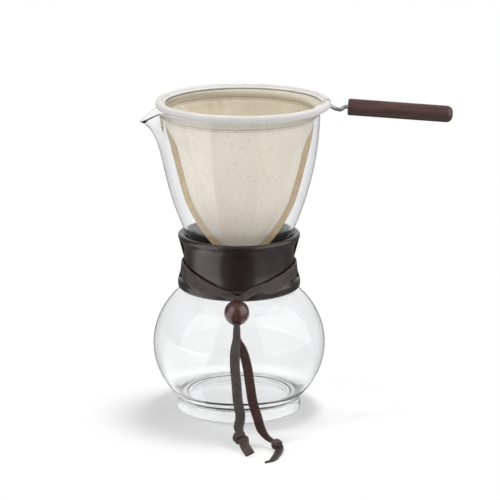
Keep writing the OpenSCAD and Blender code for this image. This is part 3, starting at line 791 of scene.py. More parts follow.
@dataclass(frozen=True)
class ThreadFinish:
    """Spun sewing thread."""

    name: str
    tone: str
    deep: str

    def make(self) -> bpy.types.Material:
        """Build the material."""
        n = new_finish(self.name)
        place = n.place()
        ply = n.noise(n.mapped(place, turn=(30, 20, 40)), 4200, 3, 0.6)
        tone = n.ramp(ply, (0.3, srgb(self.deep)), (0.65, srgb(self.tone)))
        rough = n.ramp(n.noise(place, 800, 2), (0.3, 0.65), (0.7, 0.85))
        sheen = {"Sheen_Weight": 0.3, "Sheen_Roughness": 0.5}
        return n.finish(n.body(tone, rough, n.bump(ply, 0.00008, 0.6), **sheen))


# the room


@dataclass(frozen=True)
class Softbox:
    """A soft light that looks at the pot.

    Attributes:
        name: its name.
        place: its middle, in metres.
        size: width and height in metres.
        power: power in watts.
        beside: whether it stands beside the pot, looks out level and shows in reflections.
        aim_z: height that the others look at, in metres.
    """

    name: str
    place: tuple[float, float, float]
    size: tuple[float, float]
    power: float
    beside: bool = False
    aim_z: float = 0.1

    def hang(self) -> None:
        """Put the light in the room."""
        data = bpy.data.lights.new(self.name, "AREA")
        data.shape = "RECTANGLE"
        data.size, data.size_y = self.size
        data.energy = self.power
        lamp = stood(self.name, data)
        lamp.location = self.place
        way = Vector((0, 0, self.place[2] if self.beside else self.aim_z)) - Vector(self.place)
        lamp.rotation_euler = way.to_track_quat("-Z", "Y").to_euler()
        lamp.visible_camera = False
        lamp.visible_transmission = False
        lamp.visible_glossy = self.beside


@dataclass
class Studio:
    """Camera, soft lights, pale floor and surroundings.

    Attributes:
        eye: the camera's place in metres.
        aim: what it looks at.
        lens: its lens in millimetres.
        beside: the lights beside the pot: name, bearing in degrees, width in metres and power.
        beside_away: how far those stand from the pot.
        beside_z: height of their middle.
        beside_h: their own height.
        above: the other lights.
        ambient: brightness of the surroundings for matt surfaces.
        inside_ambient: the same for light that leaves the cloth through the glass.
        back, over, aside: surroundings in reflections: way from, way to, brightness from and to.
        ahead: ways between which the surroundings seen through glass go white.
        white_from, white_by: radii between which the table goes white, in metres.
        oval, oval_shift: stretch and shift of that ring.
        half_floor: half of the table's width.
        below: how far the table lies under the pot.
        near: distance in front of the pot from which glass shows the table as a reflection does.
        near_glow: brightness that this adds.
        lift: brightness of the shadow through glass.
        mirrored_left, mirrored_right, mirrored_front: how bright the table looks in a reflection.
        steps_left, steps_right: bearings between which that changes, and its share.
    """

    eye: tuple[float, float, float] = (0.0, -1.6875, 0.54165)
    aim: tuple[float, float, float] = (0.00728, 0.0, 0.108)
    lens: float = 188.32
    beside: tuple = (("light_left", -59.5, 0.86, 6.0), ("light_right", 71.0, 1.46, 10.0))
    beside_away: float = 0.9
    beside_z: float = 0.76
    beside_h: float = 1.5
    above: tuple[Softbox, ...] = (
        Softbox("high_left", (-0.75, -0.15, 1.10), (0.22, 0.22), 3.5),
        Softbox("light_top", (0.17, 0.2, 1.25), (0.35, 0.35), 11.5),
        Softbox("light_front", (0.0, -1.4, 0.45), (1.0, 0.8), 6.0),
    )
    ambient: float = 0.26
    inside_ambient: float = 2.8
    back: tuple = (0.75, 0.97, 0.12, 0.9)
    over: tuple = (0.1, 0.9, 0.0, 0.35)
    aside: tuple = (-0.1, 0.1, 0.22, 0.5)
    ahead: tuple = (0.4, 0.85)
    white_from: float = 0.058
    white_by: float = 0.108
    oval: tuple[float, float, float] = (0.87, 1.0, 1.0)
    oval_shift: tuple[float, float, float] = (-0.01, 0.014, 0.0)
    half_floor: float = 4.0
    below: float = 0.0002
    near: float = 0.15
    near_glow: float = 0.6
    lift: float = 0.2
    mirrored_left: float = 1.25
    mirrored_right: float = 0.4
    mirrored_front: float = 0.15
    steps_left: tuple = ((-1.95, -1.65, 1.0), (-0.70, -0.66, -1.0))
    steps_right: tuple = ((0.5, 0.54, 1.0), (0.8, 1.1, -0.45), (1.65, 1.95, -0.55))

    def camera(self) -> None:
        """Set up the camera."""
        data = bpy.data.cameras.new("camera")
        data.lens = self.lens
        data.sensor_width = 36.0
        eye = stood("camera", data)
        eye.location = self.eye
        way = Vector(self.aim) - Vector(self.eye)
        eye.rotation_euler = way.to_track_quat("-Z", "Y").to_euler()
        bpy.context.scene.camera = eye

    def lights(self) -> None:
        """Stand the lights round the pot."""
        for name, bearing, width, power in self.beside:
            a = math.radians(bearing)
            place = (self.beside_away * math.sin(a), -self.beside_away * math.cos(a), self.beside_z)
            Softbox(name, place, (width, self.beside_h), power, beside=True).hang()
        for light in self.above:
            light.hang()

    def surroundings(self) -> None:
        """White for the camera and through glass, dimmer in front for reflections."""
        world = bpy.data.worlds.new("room")
        bpy.context.scene.world = world
        n = Nodes(world)
        x, y, z = n.split(n.add("TexCoord").outputs["Generated"])
        level = n.sum("ADD", n.grade(y, *self.back), n.grade(z, *self.over))
        bent = {0: n.grade(y, *self.ahead), 2: n.grade(x, *self.aside), 3: 1.0}
        path = n.add("LightPath").outputs
        spread = n.sum("GREATER_THAN", path["Diffuse Depth"], 0.5)
        inside = {0: spread, 2: n.out("Mix", bent, data_type="FLOAT"), 3: self.inside_ambient}
        through = n.sum("MAXIMUM", n.out("Mix", inside, data_type="FLOAT"), path["Is Camera Ray"])
        seen, gloss, soft = (n.shine(s, "Background") for s in (through, level, self.ambient))
        direct = n.sum("MAXIMUM", path["Is Camera Ray"], path["Is Transmission Ray"])
        bounced = n.either(path["Is Glossy Ray"], soft, gloss)
        n.add("OutputWorld", {"Surface": n.either(direct, bounced, seen)})

    def mirrored(self, n: Nodes, place: Socket) -> Socket:
        """How bright the table looks in a reflection: lit at both sides, dim in front.

        Args:
            n: the floor's nodes.
            place: place on the floor.

        Returns:
            The brightness.
        """
        x, y, _ = n.split(place)
        bearing = n.sum("ARCTAN2", x, n.sum("MULTIPLY", y, -1.0))
        level = self.mirrored_front
        for side, steps in ((self.mirrored_left, self.steps_left), (self.mirrored_right, self.steps_right)):
            for first, last, share in steps:
                level = n.sum("ADD", n.grade(bearing, first, last, 0.0, share * side), level)
        return level

    def floor(self) -> None:
        """Pale floor that goes white in the light and keeps the pot's shadow."""
        mesh = bpy.data.meshes.new("floor")
        s = self.half_floor
        corners = [(x, y, -self.below) for x, y in ((-s, -s), (s, -s), (s, s), (-s, s))]
        mesh.from_pydata(corners, [], [(0, 1, 2, 3)])
        n = new_finish("pale_floor")
        place = n.place()
        ring = n.mapped(place, scale=self.oval, shift=self.oval_shift)
        away = n.add("VectorMath", {0: ring}, operation="LENGTH").outputs["Value"]
        radii = {"Value": away, 1: self.white_from, 2: self.white_by}
        far = n.out("MapRange", radii, interpolation_type="SMOOTHSTEP")
        matt = n.out("BsdfDiffuse", {"Color": n.ramp(n.noise(place, 3, 2), (0.3, 0.735), (0.7, 0.755))})
        path = n.add("LightPath").outputs
        glass = path["Is Transmission Ray"]
        lit = n.out("AddShader", {0: matt, 1: n.shine(n.sum("MULTIPLY", glass, self.lift))})
        seen = n.either(far, lit, n.shine(1.0))
        glow = n.sum("ADD", self.mirrored(n, place), n.sum("MULTIPLY", glass, self.near_glow))
        bounced = n.either(path["Is Glossy Ray"], matt, n.shine(glow))
        behind = n.sum("GREATER_THAN", n.split(place)[1], -self.near)
        spread = n.sum("GREATER_THAN", path["Diffuse Depth"], 0.5)
        through = n.sum("MULTIPLY", glass, n.sum("MAXIMUM", behind, spread))
        direct = n.sum("MAXIMUM", path["Is Camera Ray"], through)
        mesh.materials.append(n.finish(n.either(direct, bounced, seen)))
        floor = stood("floor", mesh)

    def build(self) -> None:
        """Set up the whole room."""
        bpy.context.scene.view_settings.view_transform = "Standard"
        self.camera()
        self.lights()
        self.surroundings()
        self.floor()
        LOG.info("studio: camera, lights, floor")


# the glass pot


@dataclass
class GlassPot:
    """Blown glass pot: bulb, neck, funnel with a pulled spout, and a foot ring."""

    bulb_r: float = 57.5
    bulb_half: float = 50.8
    bulb_mid: float = 44.7
    neck_r: float = 31.2
    funnel_r: float = 53.5
    rim_z: float = 204.7
    funnel_curve: float = 205.0
    blend_w: float = 6.0
    wall: float = 2.0
    rim_bead_r: float = 1.3
    foot_r: float = 41.4
    foot_h: float = 8.0
    ring_in: float = 12.0
    floor_t: float = 2.8
    floor_r: float = 27.0
    kick_up: float = 0.8
    spout_reach: float = 12.0
    spout_dip: float = 9.2
    spout_half_angle: float = 22.0
    spout_run: float = 40.0
    spout_crowd: float = 0.55
    flat_r: float = 50.0
    steps: int = 256

    def ellipse_at(self, z: np.ndarray) -> np.ndarray:
        """Radius of the bulb at height z."""
        t = (np.asarray(z, float) - self.bulb_mid) / self.bulb_half
        return self.bulb_r * np.sqrt(np.maximum(0, 1 - t * t))

    def funnel_at(self, z: np.ndarray) -> np.ndarray:
        """Radius of the funnel's curve at height z."""
        dz = self.rim_z - np.asarray(z, float)
        r = self.funnel_curve
        return self.funnel_r - r + np.sqrt(np.maximum(0, r * r - dz * dz))

    def outside_at(self, z: np.ndarray) -> np.ndarray:
        """Outside radius at height z."""
        z = np.asarray(z, float)
        bulb = self.ellipse_at(z)
        neck = smooth_max(bulb, self.neck_r, self.blend_w)
        return np.where(z < self.bulb_mid, bulb, smooth_max(neck, self.funnel_at(z), self.blend_w))

    def inside_at(self, z: np.ndarray) -> np.ndarray:
        """Inside radius at height z."""
        slope = (self.outside_at(z + 0.05) - self.outside_at(z - 0.05)) / 0.1
        return self.outside_at(z) - self.wall * np.sqrt(1 + slope**2)

    def foot(self) -> np.ndarray:
        """Outline of the underside and the foot ring, out to the crease under the bulb."""
        under, r = self.foot_h, self.foot_r
        start = r - self.ring_in
        turn = np.linspace(0, 1, 9)
        dome = np.linspace(0, 1, 7)[:-1]
        bottom = np.stack([start * dome, under + self.kick_up * (1 - dome**2)], 1)
        bend = curve_at((start, under), (r - 2.9, under + 0.2), (r - 2.7, 3.2), turn)
        land = curve_at((r - 2.6, 1.0), (r - 2.5, 0.0), (r - 1.8, 0.0), turn[::2])
        side = curve_at((r - 1.2, 0.0), (r - 0.1, 0.0), (r, 1.2), turn)
        z = np.linspace(1.5, under - 0.15, 12)
        crease = float(self.ellipse_at(under))
        ring = np.stack([r - (r - crease) * (z / under) ** 2, z], 1)
        return np.vstack([bottom, bend, land, side, ring])

    def rim_bead(self) -> np.ndarray:
        """Outline of the round bead on the rim, from outside to inside."""
        a = np.radians(np.linspace(-24, 204, 17))
        z = self.rim_z - self.rim_bead_r
        mid = float(self.outside_at(np.array(z))) - self.wall / 2
        return np.stack([mid + self.rim_bead_r * np.cos(a), z + self.rim_bead_r * np.sin(a)], 1)

    def inside(self, levels: np.ndarray) -> np.ndarray:
        """Outline of the inside, down the wall at the levels and over the floor to its middle."""
        floor = self.foot_h + self.floor_t
        down = levels[levels > floor + 6][::-1]
        wall = np.stack([self.inside_at(down), down], 1)
        last = wall[-1]
        slope = (wall[-2, 0] - last[0]) / (wall[-2, 1] - last[1])
        corner = (last[0] - slope * (last[1] - floor), floor)
        round_in = curve_at(last, corner, (self.floor_r, floor), np.linspace(0, 1, 17))[1:]
        dish = np.linspace(1, 0, 9)[1:]
        middle = np.stack([self.floor_r * dish, floor + self.kick_up * (1 - dish**2)], 1)
        return np.vstack([wall, round_in, middle])

    def outline(self) -> np.ndarray:
        """Outline of radius and height, from the middle of the underside round to the floor."""
        top = self.rim_z - 2 * self.rim_bead_r
        spans = (self.foot_h + 0.25, 14, 9), (14.8, 74, 52), (75, 98, 24), (99.5, top, 70)
        levels = np.concatenate([np.linspace(*span) for span in spans])
        outer = np.stack([self.outside_at(levels), levels], 1)
        return np.vstack([self.foot(), outer, self.rim_bead(), self.inside(levels)])

    def drawn(self, a: np.ndarray, r: np.ndarray, z: np.ndarray) -> np.ndarray:
        """Points at angle a from the spout, with the spout drawn out of radius r and height z."""
        t = np.minimum(1, np.abs(np.degrees(a)) / self.spout_half_angle)
        w = np.maximum(0, (z - (self.rim_z - self.spout_run)) / self.spout_run)
        share = (0.5 + 0.5 * np.cos(np.pi * t)) ** 1.1 * (0.25 * w**1.3 + 0.75 * w**3.5)
        far = r + self.spout_reach * share
        return np.stack([-far * np.cos(a), -far * np.sin(a), z - self.spout_dip * share], -1)

    def ripple(self, a: np.ndarray, z: np.ndarray) -> np.ndarray:
        """How far blown glass wanders off its radius, nil at the foot, the neck and the rim."""
        free = ease((z - 14) / 20) * ease((self.rim_z - 6 - z) / 25) * ease(np.abs(z - 102) / 24 - 0.8)
        return free * (0.03 * np.sin(3 * a + z / 17) + 0.02 * np.sin(5 * a - z / 13))

    def build(self, finish: bpy.types.Material) -> bpy.types.Object:
        """Blow the pot.

        Args:
            finish: the glass material.

        Returns:
            The piece.
        """
        outline = self.outline()
        s = np.linspace(0, TAU, self.steps, endpoint=False)
        a = s - self.spout_crowd * np.sin(s)
        a = np.where(a > np.pi, a - TAU, a)
        body = outline[1:-1]
        r, z = (body[:, k, None] * np.ones_like(a)[None] for k in (0, 1))
        grid = self.drawn(a[None], r + self.ripple(a, z), z)
        flat = flat_grid(run_along(body), np.linspace(0, TAU * self.flat_r, self.steps + 1))
        skin = grid_skin(grid, flat, wrap_columns=True)
        rises = outline[0, 1] - body[0, 1], outline[-1, 1] - body[-1, 1]
        close_ends(skin, self.steps, bulges=[(0, 0, rise) for rise in rises])
        piece = make_object("Glass_pot", [skin], [finish], sharp=80)
        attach(piece, "pot")
        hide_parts("glass_pot")
        LOG.info("glass pot: %d points", len(skin.points))
        return piece


# the collar


@dataclass
class Collar:
    """Turned wooden collar in two halves."""

    pot: GlassPot
    low: float = 82.98
    high: float = 120.58
    flange_r: float = 40.8
    flange_h: float = 7.8
    flange_round: float = 2.2
    waist_r: float = 36.7
    hollow_low: float = 48.0
    flare_power: float = 4.0
    join_angle: float = -40.0
    lip_out: float = 40.6
    lip_r: float = 2.0
    dish: float = 5.0
    gap: float = 0.35
    split: float = 0.3
    flat_r: float = 40.0
    steps: int = 110

    def hollow_at(self, z: np.ndarray) -> np.ndarray:
        """Radius of the hollow waist and of the flare over it at height z."""
        z = np.asarray(z, float)
        waist = (self.low + self.high) / 2
        r = self.hollow_low
        low = self.waist_r + r - np.sqrt(np.maximum(0, r * r - (z - waist) ** 2))
        join_r, join_z = self.lip_at(self.join_angle)
        share = np.maximum(0, z - waist) / (join_z - waist)
        flare = self.waist_r + (join_r - self.waist_r) * share**self.flare_power
        return np.where(z < waist, low, flare)

    def lip_at(self, angle: float) -> tuple[float, float]:
        """Radius and height of the round of the lip at an angle in degrees."""
        a = math.radians(angle)
        out, up = self.lip_out - self.lip_r, self.high - self.lip_r
        return out + self.lip_r * math.cos(a), up + self.lip_r * math.sin(a)

    def flange_at(self, z: np.ndarray) -> np.ndarray:
        """Radius of the flange at height z, nil above it."""
        t = np.abs(np.asarray(z, float) - self.low - self.flange_h / 2) / (self.flange_h / 2)
        return np.where(t > 1.001, 0, self.flange_r - self.flange_round * np.minimum(t, 1) ** 4)

    def outside_at(self, z: np.ndarray) -> np.ndarray:
        """Outside radius of the collar at height z."""
        return np.maximum(self.flange_at(z), self.hollow_at(z))

    def section(self) -> np.ndarray:
        """Closed outline of radius and height, up the outside and down the bore."""
        t = np.linspace(-1, 1, 25)
        flange_z = self.low + self.flange_h / 2 * (1 + np.sin(t * np.pi / 2))
        flange = np.stack([self.flange_at(flange_z), flange_z], 1)
        body_z = np.linspace(self.low + self.flange_h + 0.15, self.lip_at(self.join_angle)[1], 48)
        body = np.stack([self.hollow_at(body_z), body_z], 1)
        lip = np.array([self.lip_at(a) for a in np.linspace(self.join_angle + 8, 150, 24)])
        dish_z = self.high - self.dish
        foot = (float(self.pot.outside_at(np.array(dish_z))) + self.gap, dish_z)
        dish = curve_at(lip[-1], (foot[0] + 0.6, self.high - 2), foot, np.linspace(0, 1, 10)[1:])
        bore_z = np.linspace(dish_z - 0.8, self.low, 40)
        bore = np.stack([self.pot.outside_at(bore_z) + self.gap, bore_z], 1)
        return np.vstack([flange, body, lip, dish, bore])

    def build(self, finish: bpy.types.Material) -> None:
        """Turn both halves.

        Args:
            finish: the wood.
        """
        section = self.section()
        short = math.asin(self.split / 2 / self.waist_r)
        run = run_along(section)
        run = np.append(run, run[-1] + self.dish)
        for name, start in (("Collar_front", math.pi), ("Collar_rear", 0.0)):
            a = np.linspace(start + short, start + math.pi - short, self.steps + 1)
            r, z = section[:, 0, None], section[:, 1, None]
            grid = np.stack([r * np.cos(a), r * np.sin(a), z * np.ones_like(a)], -1)
            skin = grid_skin(grid, flat_grid(run, a * self.flat_r), wrap_rows=True)
            count, columns = len(section), len(a)
            cap(skin, [i * columns for i in range(count)])
            cap(skin, [i * columns + columns - 1 for i in range(count - 1, -1, -1)])
            piece = make_object(name, [skin], [finish], sharp=50)
            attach(piece, "pot")
            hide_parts(name.lower())
            LOG.info("%s: %d points", name, len(skin.points))


# thong and bead


@dataclass
class Bead:
    """Wooden bead that lies on the bulb with its bore down the slope."""

    pot: GlassPot
    radius: float = 8.3
    bore_r: float = 2.9
    across: float = -1.5
    latitude: float = 35.5
    gap: float = 0.3
    edge: float = 0.45
    bore_steps: int = 12
    steps: int = 96

    def __post_init__(self) -> None:
        """Work out where the bead lies."""
        lat = math.radians(self.latitude)
        pot = self.pot
        out = unit(np.array([math.cos(lat) / pot.bulb_r, math.sin(lat) / pot.bulb_half]))
        away = self.radius + self.gap
        forward = pot.bulb_r * math.cos(lat) + away * out[0]
        height = pot.bulb_mid + pot.bulb_half * math.sin(lat) + away * out[1]
        self.middle = np.array([self.across, -forward, height])
        self.down = np.array([0, -out[1], -out[0]])
        self.outward = np.array([0, -out[0], out[1]])

    def section(self) -> np.ndarray:
        """Closed outline of radius and height, down the ball and up the bore."""
        start = math.asin((self.bore_r + self.edge) / self.radius)
        a = np.linspace(start, math.pi - start, 72)
        ball = np.stack([self.radius * np.sin(a), self.radius * np.cos(a)], 1)
        top, r, edge = ball[0, 1], self.bore_r, self.edge
        turn = np.linspace(0, 1, 7)
        into = curve_at(ball[-1], (r, -top), (r, -top + edge * 1.6), turn)[1:]
        bore_z = np.linspace(-top + edge * 2, top - edge * 2, self.bore_steps)
        bore = np.stack([np.full(self.bore_steps, r), bore_z], 1)
        out = curve_at((r, top - edge * 1.6), (r, top), ball[0], turn)[:-1]
        return np.vstack([ball, into, bore, out])

    def build(self, finish: bpy.types.Material) -> None:
        """Turn and drill the bead.

        Args:
            finish: the wood.
        """
        section = self.section()
        s = np.linspace(0, TAU, self.steps, endpoint=False)
        right = np.array([1.0, 0, 0])
        ring = np.cos(s)[:, None] * right + np.sin(s)[:, None] * np.cross(-self.down, right)
        r, z = section[:, 0, None, None], section[:, 1, None, None]
        skin = grid_skin(self.middle + r * ring[None] - z * self.down, wrap_rows=True, wrap_columns=True)
        piece = make_object("Bead", [skin], [finish], sharp=60)
        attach(piece, "bead")
        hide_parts("bead")
        LOG.info("bead: %d points", len(skin.points))


@dataclass(frozen=True)
class Tail:
    """One end of the thong, from the bead through its knot to the cut.

    Attributes:
        side: left or right, as in the names of its pieces.
        face: the face of the leather that looks out.
        twist: how far the tail turns on its way, in degrees.
        route: its route, rows of x, y, z and share of the width.
        knot: middle of the knot.
        down: way from the tail to the cut end.
        front: way that the knot's front looks.
        roll: how far the cut end is rolled up on its right side, in degrees.
        end: route of the cut end, rows as in the route.
    """

    side: str
    face: Face
    twist: float
    route: tuple
    knot: tuple[float, float, float]
    down: tuple[float, float, float]
    front: tuple[float, float, float]
    roll: float
    end: tuple


TAILS = (
    Tail(
        side="left",
        face=Face.GRAIN,
        twist=-6,
        route=(
            (-1.5, -59.7, 73.2, 0.65), (-1.5, -65, 66.7, 0.78), (-2.6, -70.3, 58.3, 1),
            (-2.8, -74.5, 50.7, 1), (-1.7, -79, 38, 1), (-1, -82, 29.4, 1), (0.7, -85, 18.5, 1),
            (-0.3, -87.1, 11.8, 0.95), (0.2, -88.3, 10.4, 0.85),
        ),
        knot=(0.2, -90.6, 7.2),
        down=(0.15, -0.75, -0.65),
        front=(0, -0.62, 0.78),
        roll=25,
        end=((1.4, -92.5, 6.6, 0.83), (3.6, -99.5, 4.2, 1), (6.8, -109.7, 2.1, 1)),
    ),
    Tail(
        side="right",
        face=Face.SUEDE,
        twist=14,
        route=(
            (-1.5, -58.4, 72.2, 0.65), (-1.5, -63.7, 65.6, 0.78), (2.4, -68.4, 58.4, 0.95),
            (5, -73.5, 50.4, 1), (7.2, -78, 37.6, 1), (8.6, -81, 29, 1), (11.8, -84, 18.2, 1),
            (14.4, -86.5, 10.6, 0.92), (17.8, -88.6, 6.4, 0.65), (20.8, -91.3, 5, 0.55),
        ),
        knot=(24.6, -96.6, 3.9),
        down=(0.47, -0.86, -0.22),
        front=(0, -0.25, 0.97),
        roll=14,
        end=(
            (25.8, -100.4, 2.7, 0.83), (24.8, -107, 2, 0.95), (23, -114.5, 1.7, 0.92),
            (20.4, -121, 1.4, 0.77), (16.2, -122.8, 1, 0.25),
        ),
    ),
)


@dataclass
class Thong:
    """Leather thong: band round the collar, two tails through the bead, a knot on each.

    Attributes:
        collar: the collar that it goes round.
        bead: the bead that it goes through.
        width: width of the band.
        thickness: thickness of the leather.
        tail_w: width of the tails.
        gathered_w: width inside the bead.
        leave_w: width where the band leaves the collar.
        leave: angle from the front where it leaves the collar, in degrees.
        narrow: angle where it starts to narrow.
        drop_left: how far its left side falls towards the front.
        drop_right: the same at the right.
        top_share: height of the band's top as a share of the collar's.
        gap: play under the band.
        knot_size: scale of the knots.
        knot_thin: thickness in a knot as a share of the leather's.
        lying: least height of the middle of a cut end.
        over_table: least height of a cut end's skin.
        cut_fray: how unevenly the tails are cut.
        turns: way of the strip through a knot: right, front and down of its middle, and width.
    """

    collar: Collar
    bead: Bead
    width: float = 9.0
    thickness: float = 1.4
    tail_w: float = 6.5
    gathered_w: float = 4.2
    leave_w: float = 5.2
    leave: float = 14.0
    narrow: float = 34.0
    drop_left: float = 13.5
    drop_right: float = 11.0
    top_share: float = 0.49
    gap: float = 0.25
    knot_size: float = 0.95
    knot_thin: float = 0.93
    lying: float = 0.95
    over_table: float = 0.1
    cut_fray: float = 0.07
    turns: tuple = (
        (0.5, -1.0, -3.2, 4.6), (0.2, -1.3, -0.6, 4.4), (-1.0, -1.2, 2.0, 4.2),
        (-3.2, -0.3, 2.6, 3.6), (-3.6, 1.2, 0.8, 4.0), (-1.6, 2.3, -0.9, 5.0),
        (1.4, 2.2, -1.7, 5.0), (3.2, 0.8, -1.6, 4.2), (2.9, -1.2, -0.6, 4.0),
        (0.6, -2.3, 0.3, 4.4), (-2.0, -1.4, 1.0, 4.0), (-1.6, 0.4, 2.0, 3.8),
        (0.4, 0.9, 2.6, 4.4),
    )

    def band_station(self, angle: float, drop: float) -> tuple[np.ndarray, np.ndarray, float]:
        """Middle, way out and width of the band at an angle from the front, in degrees."""
        share = float(ease((abs(angle) - self.leave) / (self.narrow - self.leave)))
        w = self.leave_w + (self.width - self.leave_w) * share
        top = self.collar.low + (self.collar.high - self.collar.low) * self.top_share
        a = math.radians(angle)
        high = top - (drop * (1 - math.sin(abs(a))) if abs(angle) < 90 else 0)
        low = high - w
        t = np.linspace(0, 1, 21)
        at = self.collar.outside_at(low + w * t)
        line = at[0] + (at[-1] - at[0]) * t
        lift = max(0.0, float((at - line).max())) + self.gap + self.thickness / 2
        out = np.array([math.sin(a), -math.cos(a), 0])
        up = unit((at[-1] - at[0]) * out + np.array([0, 0, w]))
        face = np.cross(np.array([math.cos(a), math.sin(a), 0]), up)
        middle = ((at[0] + at[-1]) / 2 + lift) * out + np.array([0, 0, (high + low) / 2])
        return middle, face, w

    def side_rows(self, sign: int, drop: float) -> list[list[float]]:
        """Rows of middle, face, width and cup from the back of the collar into the bead's bore."""
        rows = []
        for angle in np.linspace(180, self.leave, 60)[1:]:
            middle, face, w = self.band_station(sign * angle, drop)
            rows.append([*middle, *face, w, 0.0])
        bead = self.bead
        stack = (self.thickness + 0.3) / 2
        last = np.array(rows[-1])
        for s, cup in ((-bead.radius - 0.6, 0.1), (0, 0), (bead.radius + 0.5, 0)):
            middle = bead.middle + s * bead.down - sign * stack * bead.outward
            rows.append([*middle, *bead.outward, self.gathered_w, cup])
        mouth = np.array(rows[-3])
        for share, out, cup in ((0.45, 0.9, -0.7), (0.78, 0.5, -0.8)):
            row = last * (1 - share) + mouth * share
            row[:3] += out * np.array([0, -1, 0.3])
            row[7] = cup
            rows.insert(-3, list(row))
        return rows

    def band(self, finishes: Sequence[bpy.types.Material]) -> None:
        """Wrap the band round the collar and lead both ends into the bead."""
        left = self.side_rows(-1, self.drop_left)
        right = self.side_rows(1, self.drop_right)
        back, face, w = self.band_station(180, self.drop_left)
        rows = spline(left[::-1] + [[*back, *face, w, 0.0]] + right, 420)
        strip = Strip(rows[:, :3], rows[:, 3:6], rows[:, 6], self.thickness, rows[:, 7])
        piece = make_object("Thong_band", [strip.skin()], finishes)
        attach(piece, "pot")
        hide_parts("thong_wrap")
        LOG.info("thong band")

    def hang(self, tail: Tail, finishes: Sequence[bpy.types.Material], knot: bpy.types.Object) -> None:
        """Hang one tail.

        Args:
            tail: the tail.
            finishes: grain and suede.
            knot: the knot at its end; not used.
        """
        name = "Thong_tail_" + tail.side
        rows = spline(tail.route, 180)
        way = travel(rows[:, :3])
        side = unit(np.cross([0, -1, 0.3], way))
        along = np.linspace(0, 1, len(rows))
        turn = np.radians(tail.twist) * np.sin(along * np.pi) + np.radians(5) * np.sin(along * 9)
        turn = (turn * ease(along * 6))[:, None]
        face = np.cross(way, side) * np.cos(turn) + side * np.sin(turn)
        cup = 0.25 * np.sin(along * 7 + 1) * ease(along * 5) - 0.2
        frayed = np.random.default_rng(11 + len(name)).normal(0, self.cut_fray, len(rows))
        strip = Strip(rows[:, :3], face, rows[:, 3] * self.tail_w + frayed, self.thickness, cup)
        piece = make_object(name, [strip.skin(tail.face)], finishes)
        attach(piece, "pot")
        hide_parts(name.lower())

    def tie(self, tail: Tail, finishes: Sequence[bpy.types.Material]) -> bpy.types.Object:
        """Tie an overhand knot in a tail and lay out its cut end.

        Args:
            tail: the tail.
            finishes: grain and suede.

        Returns:
            The piece.
        """
        name = "Thong_knot_" + tail.side
        middle, down = np.array(tail.knot), unit(tail.down)
        front = unit(np.array(tail.front) - np.dot(tail.front, down) * down)
        right = np.cross(front, down)
        rows = [[*tail.route[-1][:3], self.tail_w * 0.7, *front]]
        for x, y, z, w in self.turns[:-2]:
            place = middle + self.knot_size * (x * right + y * front + z * down)
            rows.append([*place, w, *unit(unit(x * right + y * front) * 0.7 + 0.3 * front)])
        for x, y, z, w in self.turns[-2:]:
            place = middle + self.knot_size * (x * right + y * front + z * down)
            rows.append([*place, w, *front])
        end = np.array(tail.end, float)
        ways = unit(np.diff(end[:, :3], axis=0))
        roll = math.radians(tail.roll)
        for (*place, share), way in zip(end, [*ways, ways[-1]]):
            flat = unit(np.cross([0, 0, 1], way))
            across = flat * math.cos(roll) + np.cross(way, flat) * math.sin(roll)
            rows.append([*place, share * self.tail_w, *np.cross(way, -across)])
        rows = spline(rows, 200)
        rows[:, 2] = np.maximum(rows[:, 2], self.lying)
        cup = np.full(len(rows), -0.25)
        strip = Strip(rows[:, :3], rows[:, 4:7], rows[:, 3], self.thickness * self.knot_thin, cup)
        piece = make_object(name, [strip.skin(tail.face)], finishes)
        for v in piece.data.vertices:
            v.co.z = max(v.co.z, self.over_table * MM)
        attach(piece, "pot")
        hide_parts(name.lower())
        LOG.info("%s", name)
        return piece

    def build(self, grain: bpy.types.Material, suede: bpy.types.Material) -> None:
        """Make both knots, both tails and the band.

        Args:
            grain: finish of the grain face.
            suede: finish of the suede face.
        """
        finishes = [grain, suede]
        knots = [self.tie(tail, finishes) for tail in TAILS]
        for tail, knot in zip(TAILS, knots):
            self.hang(tail, finishes, knot)
        self.band(finishes)


# ring and grip


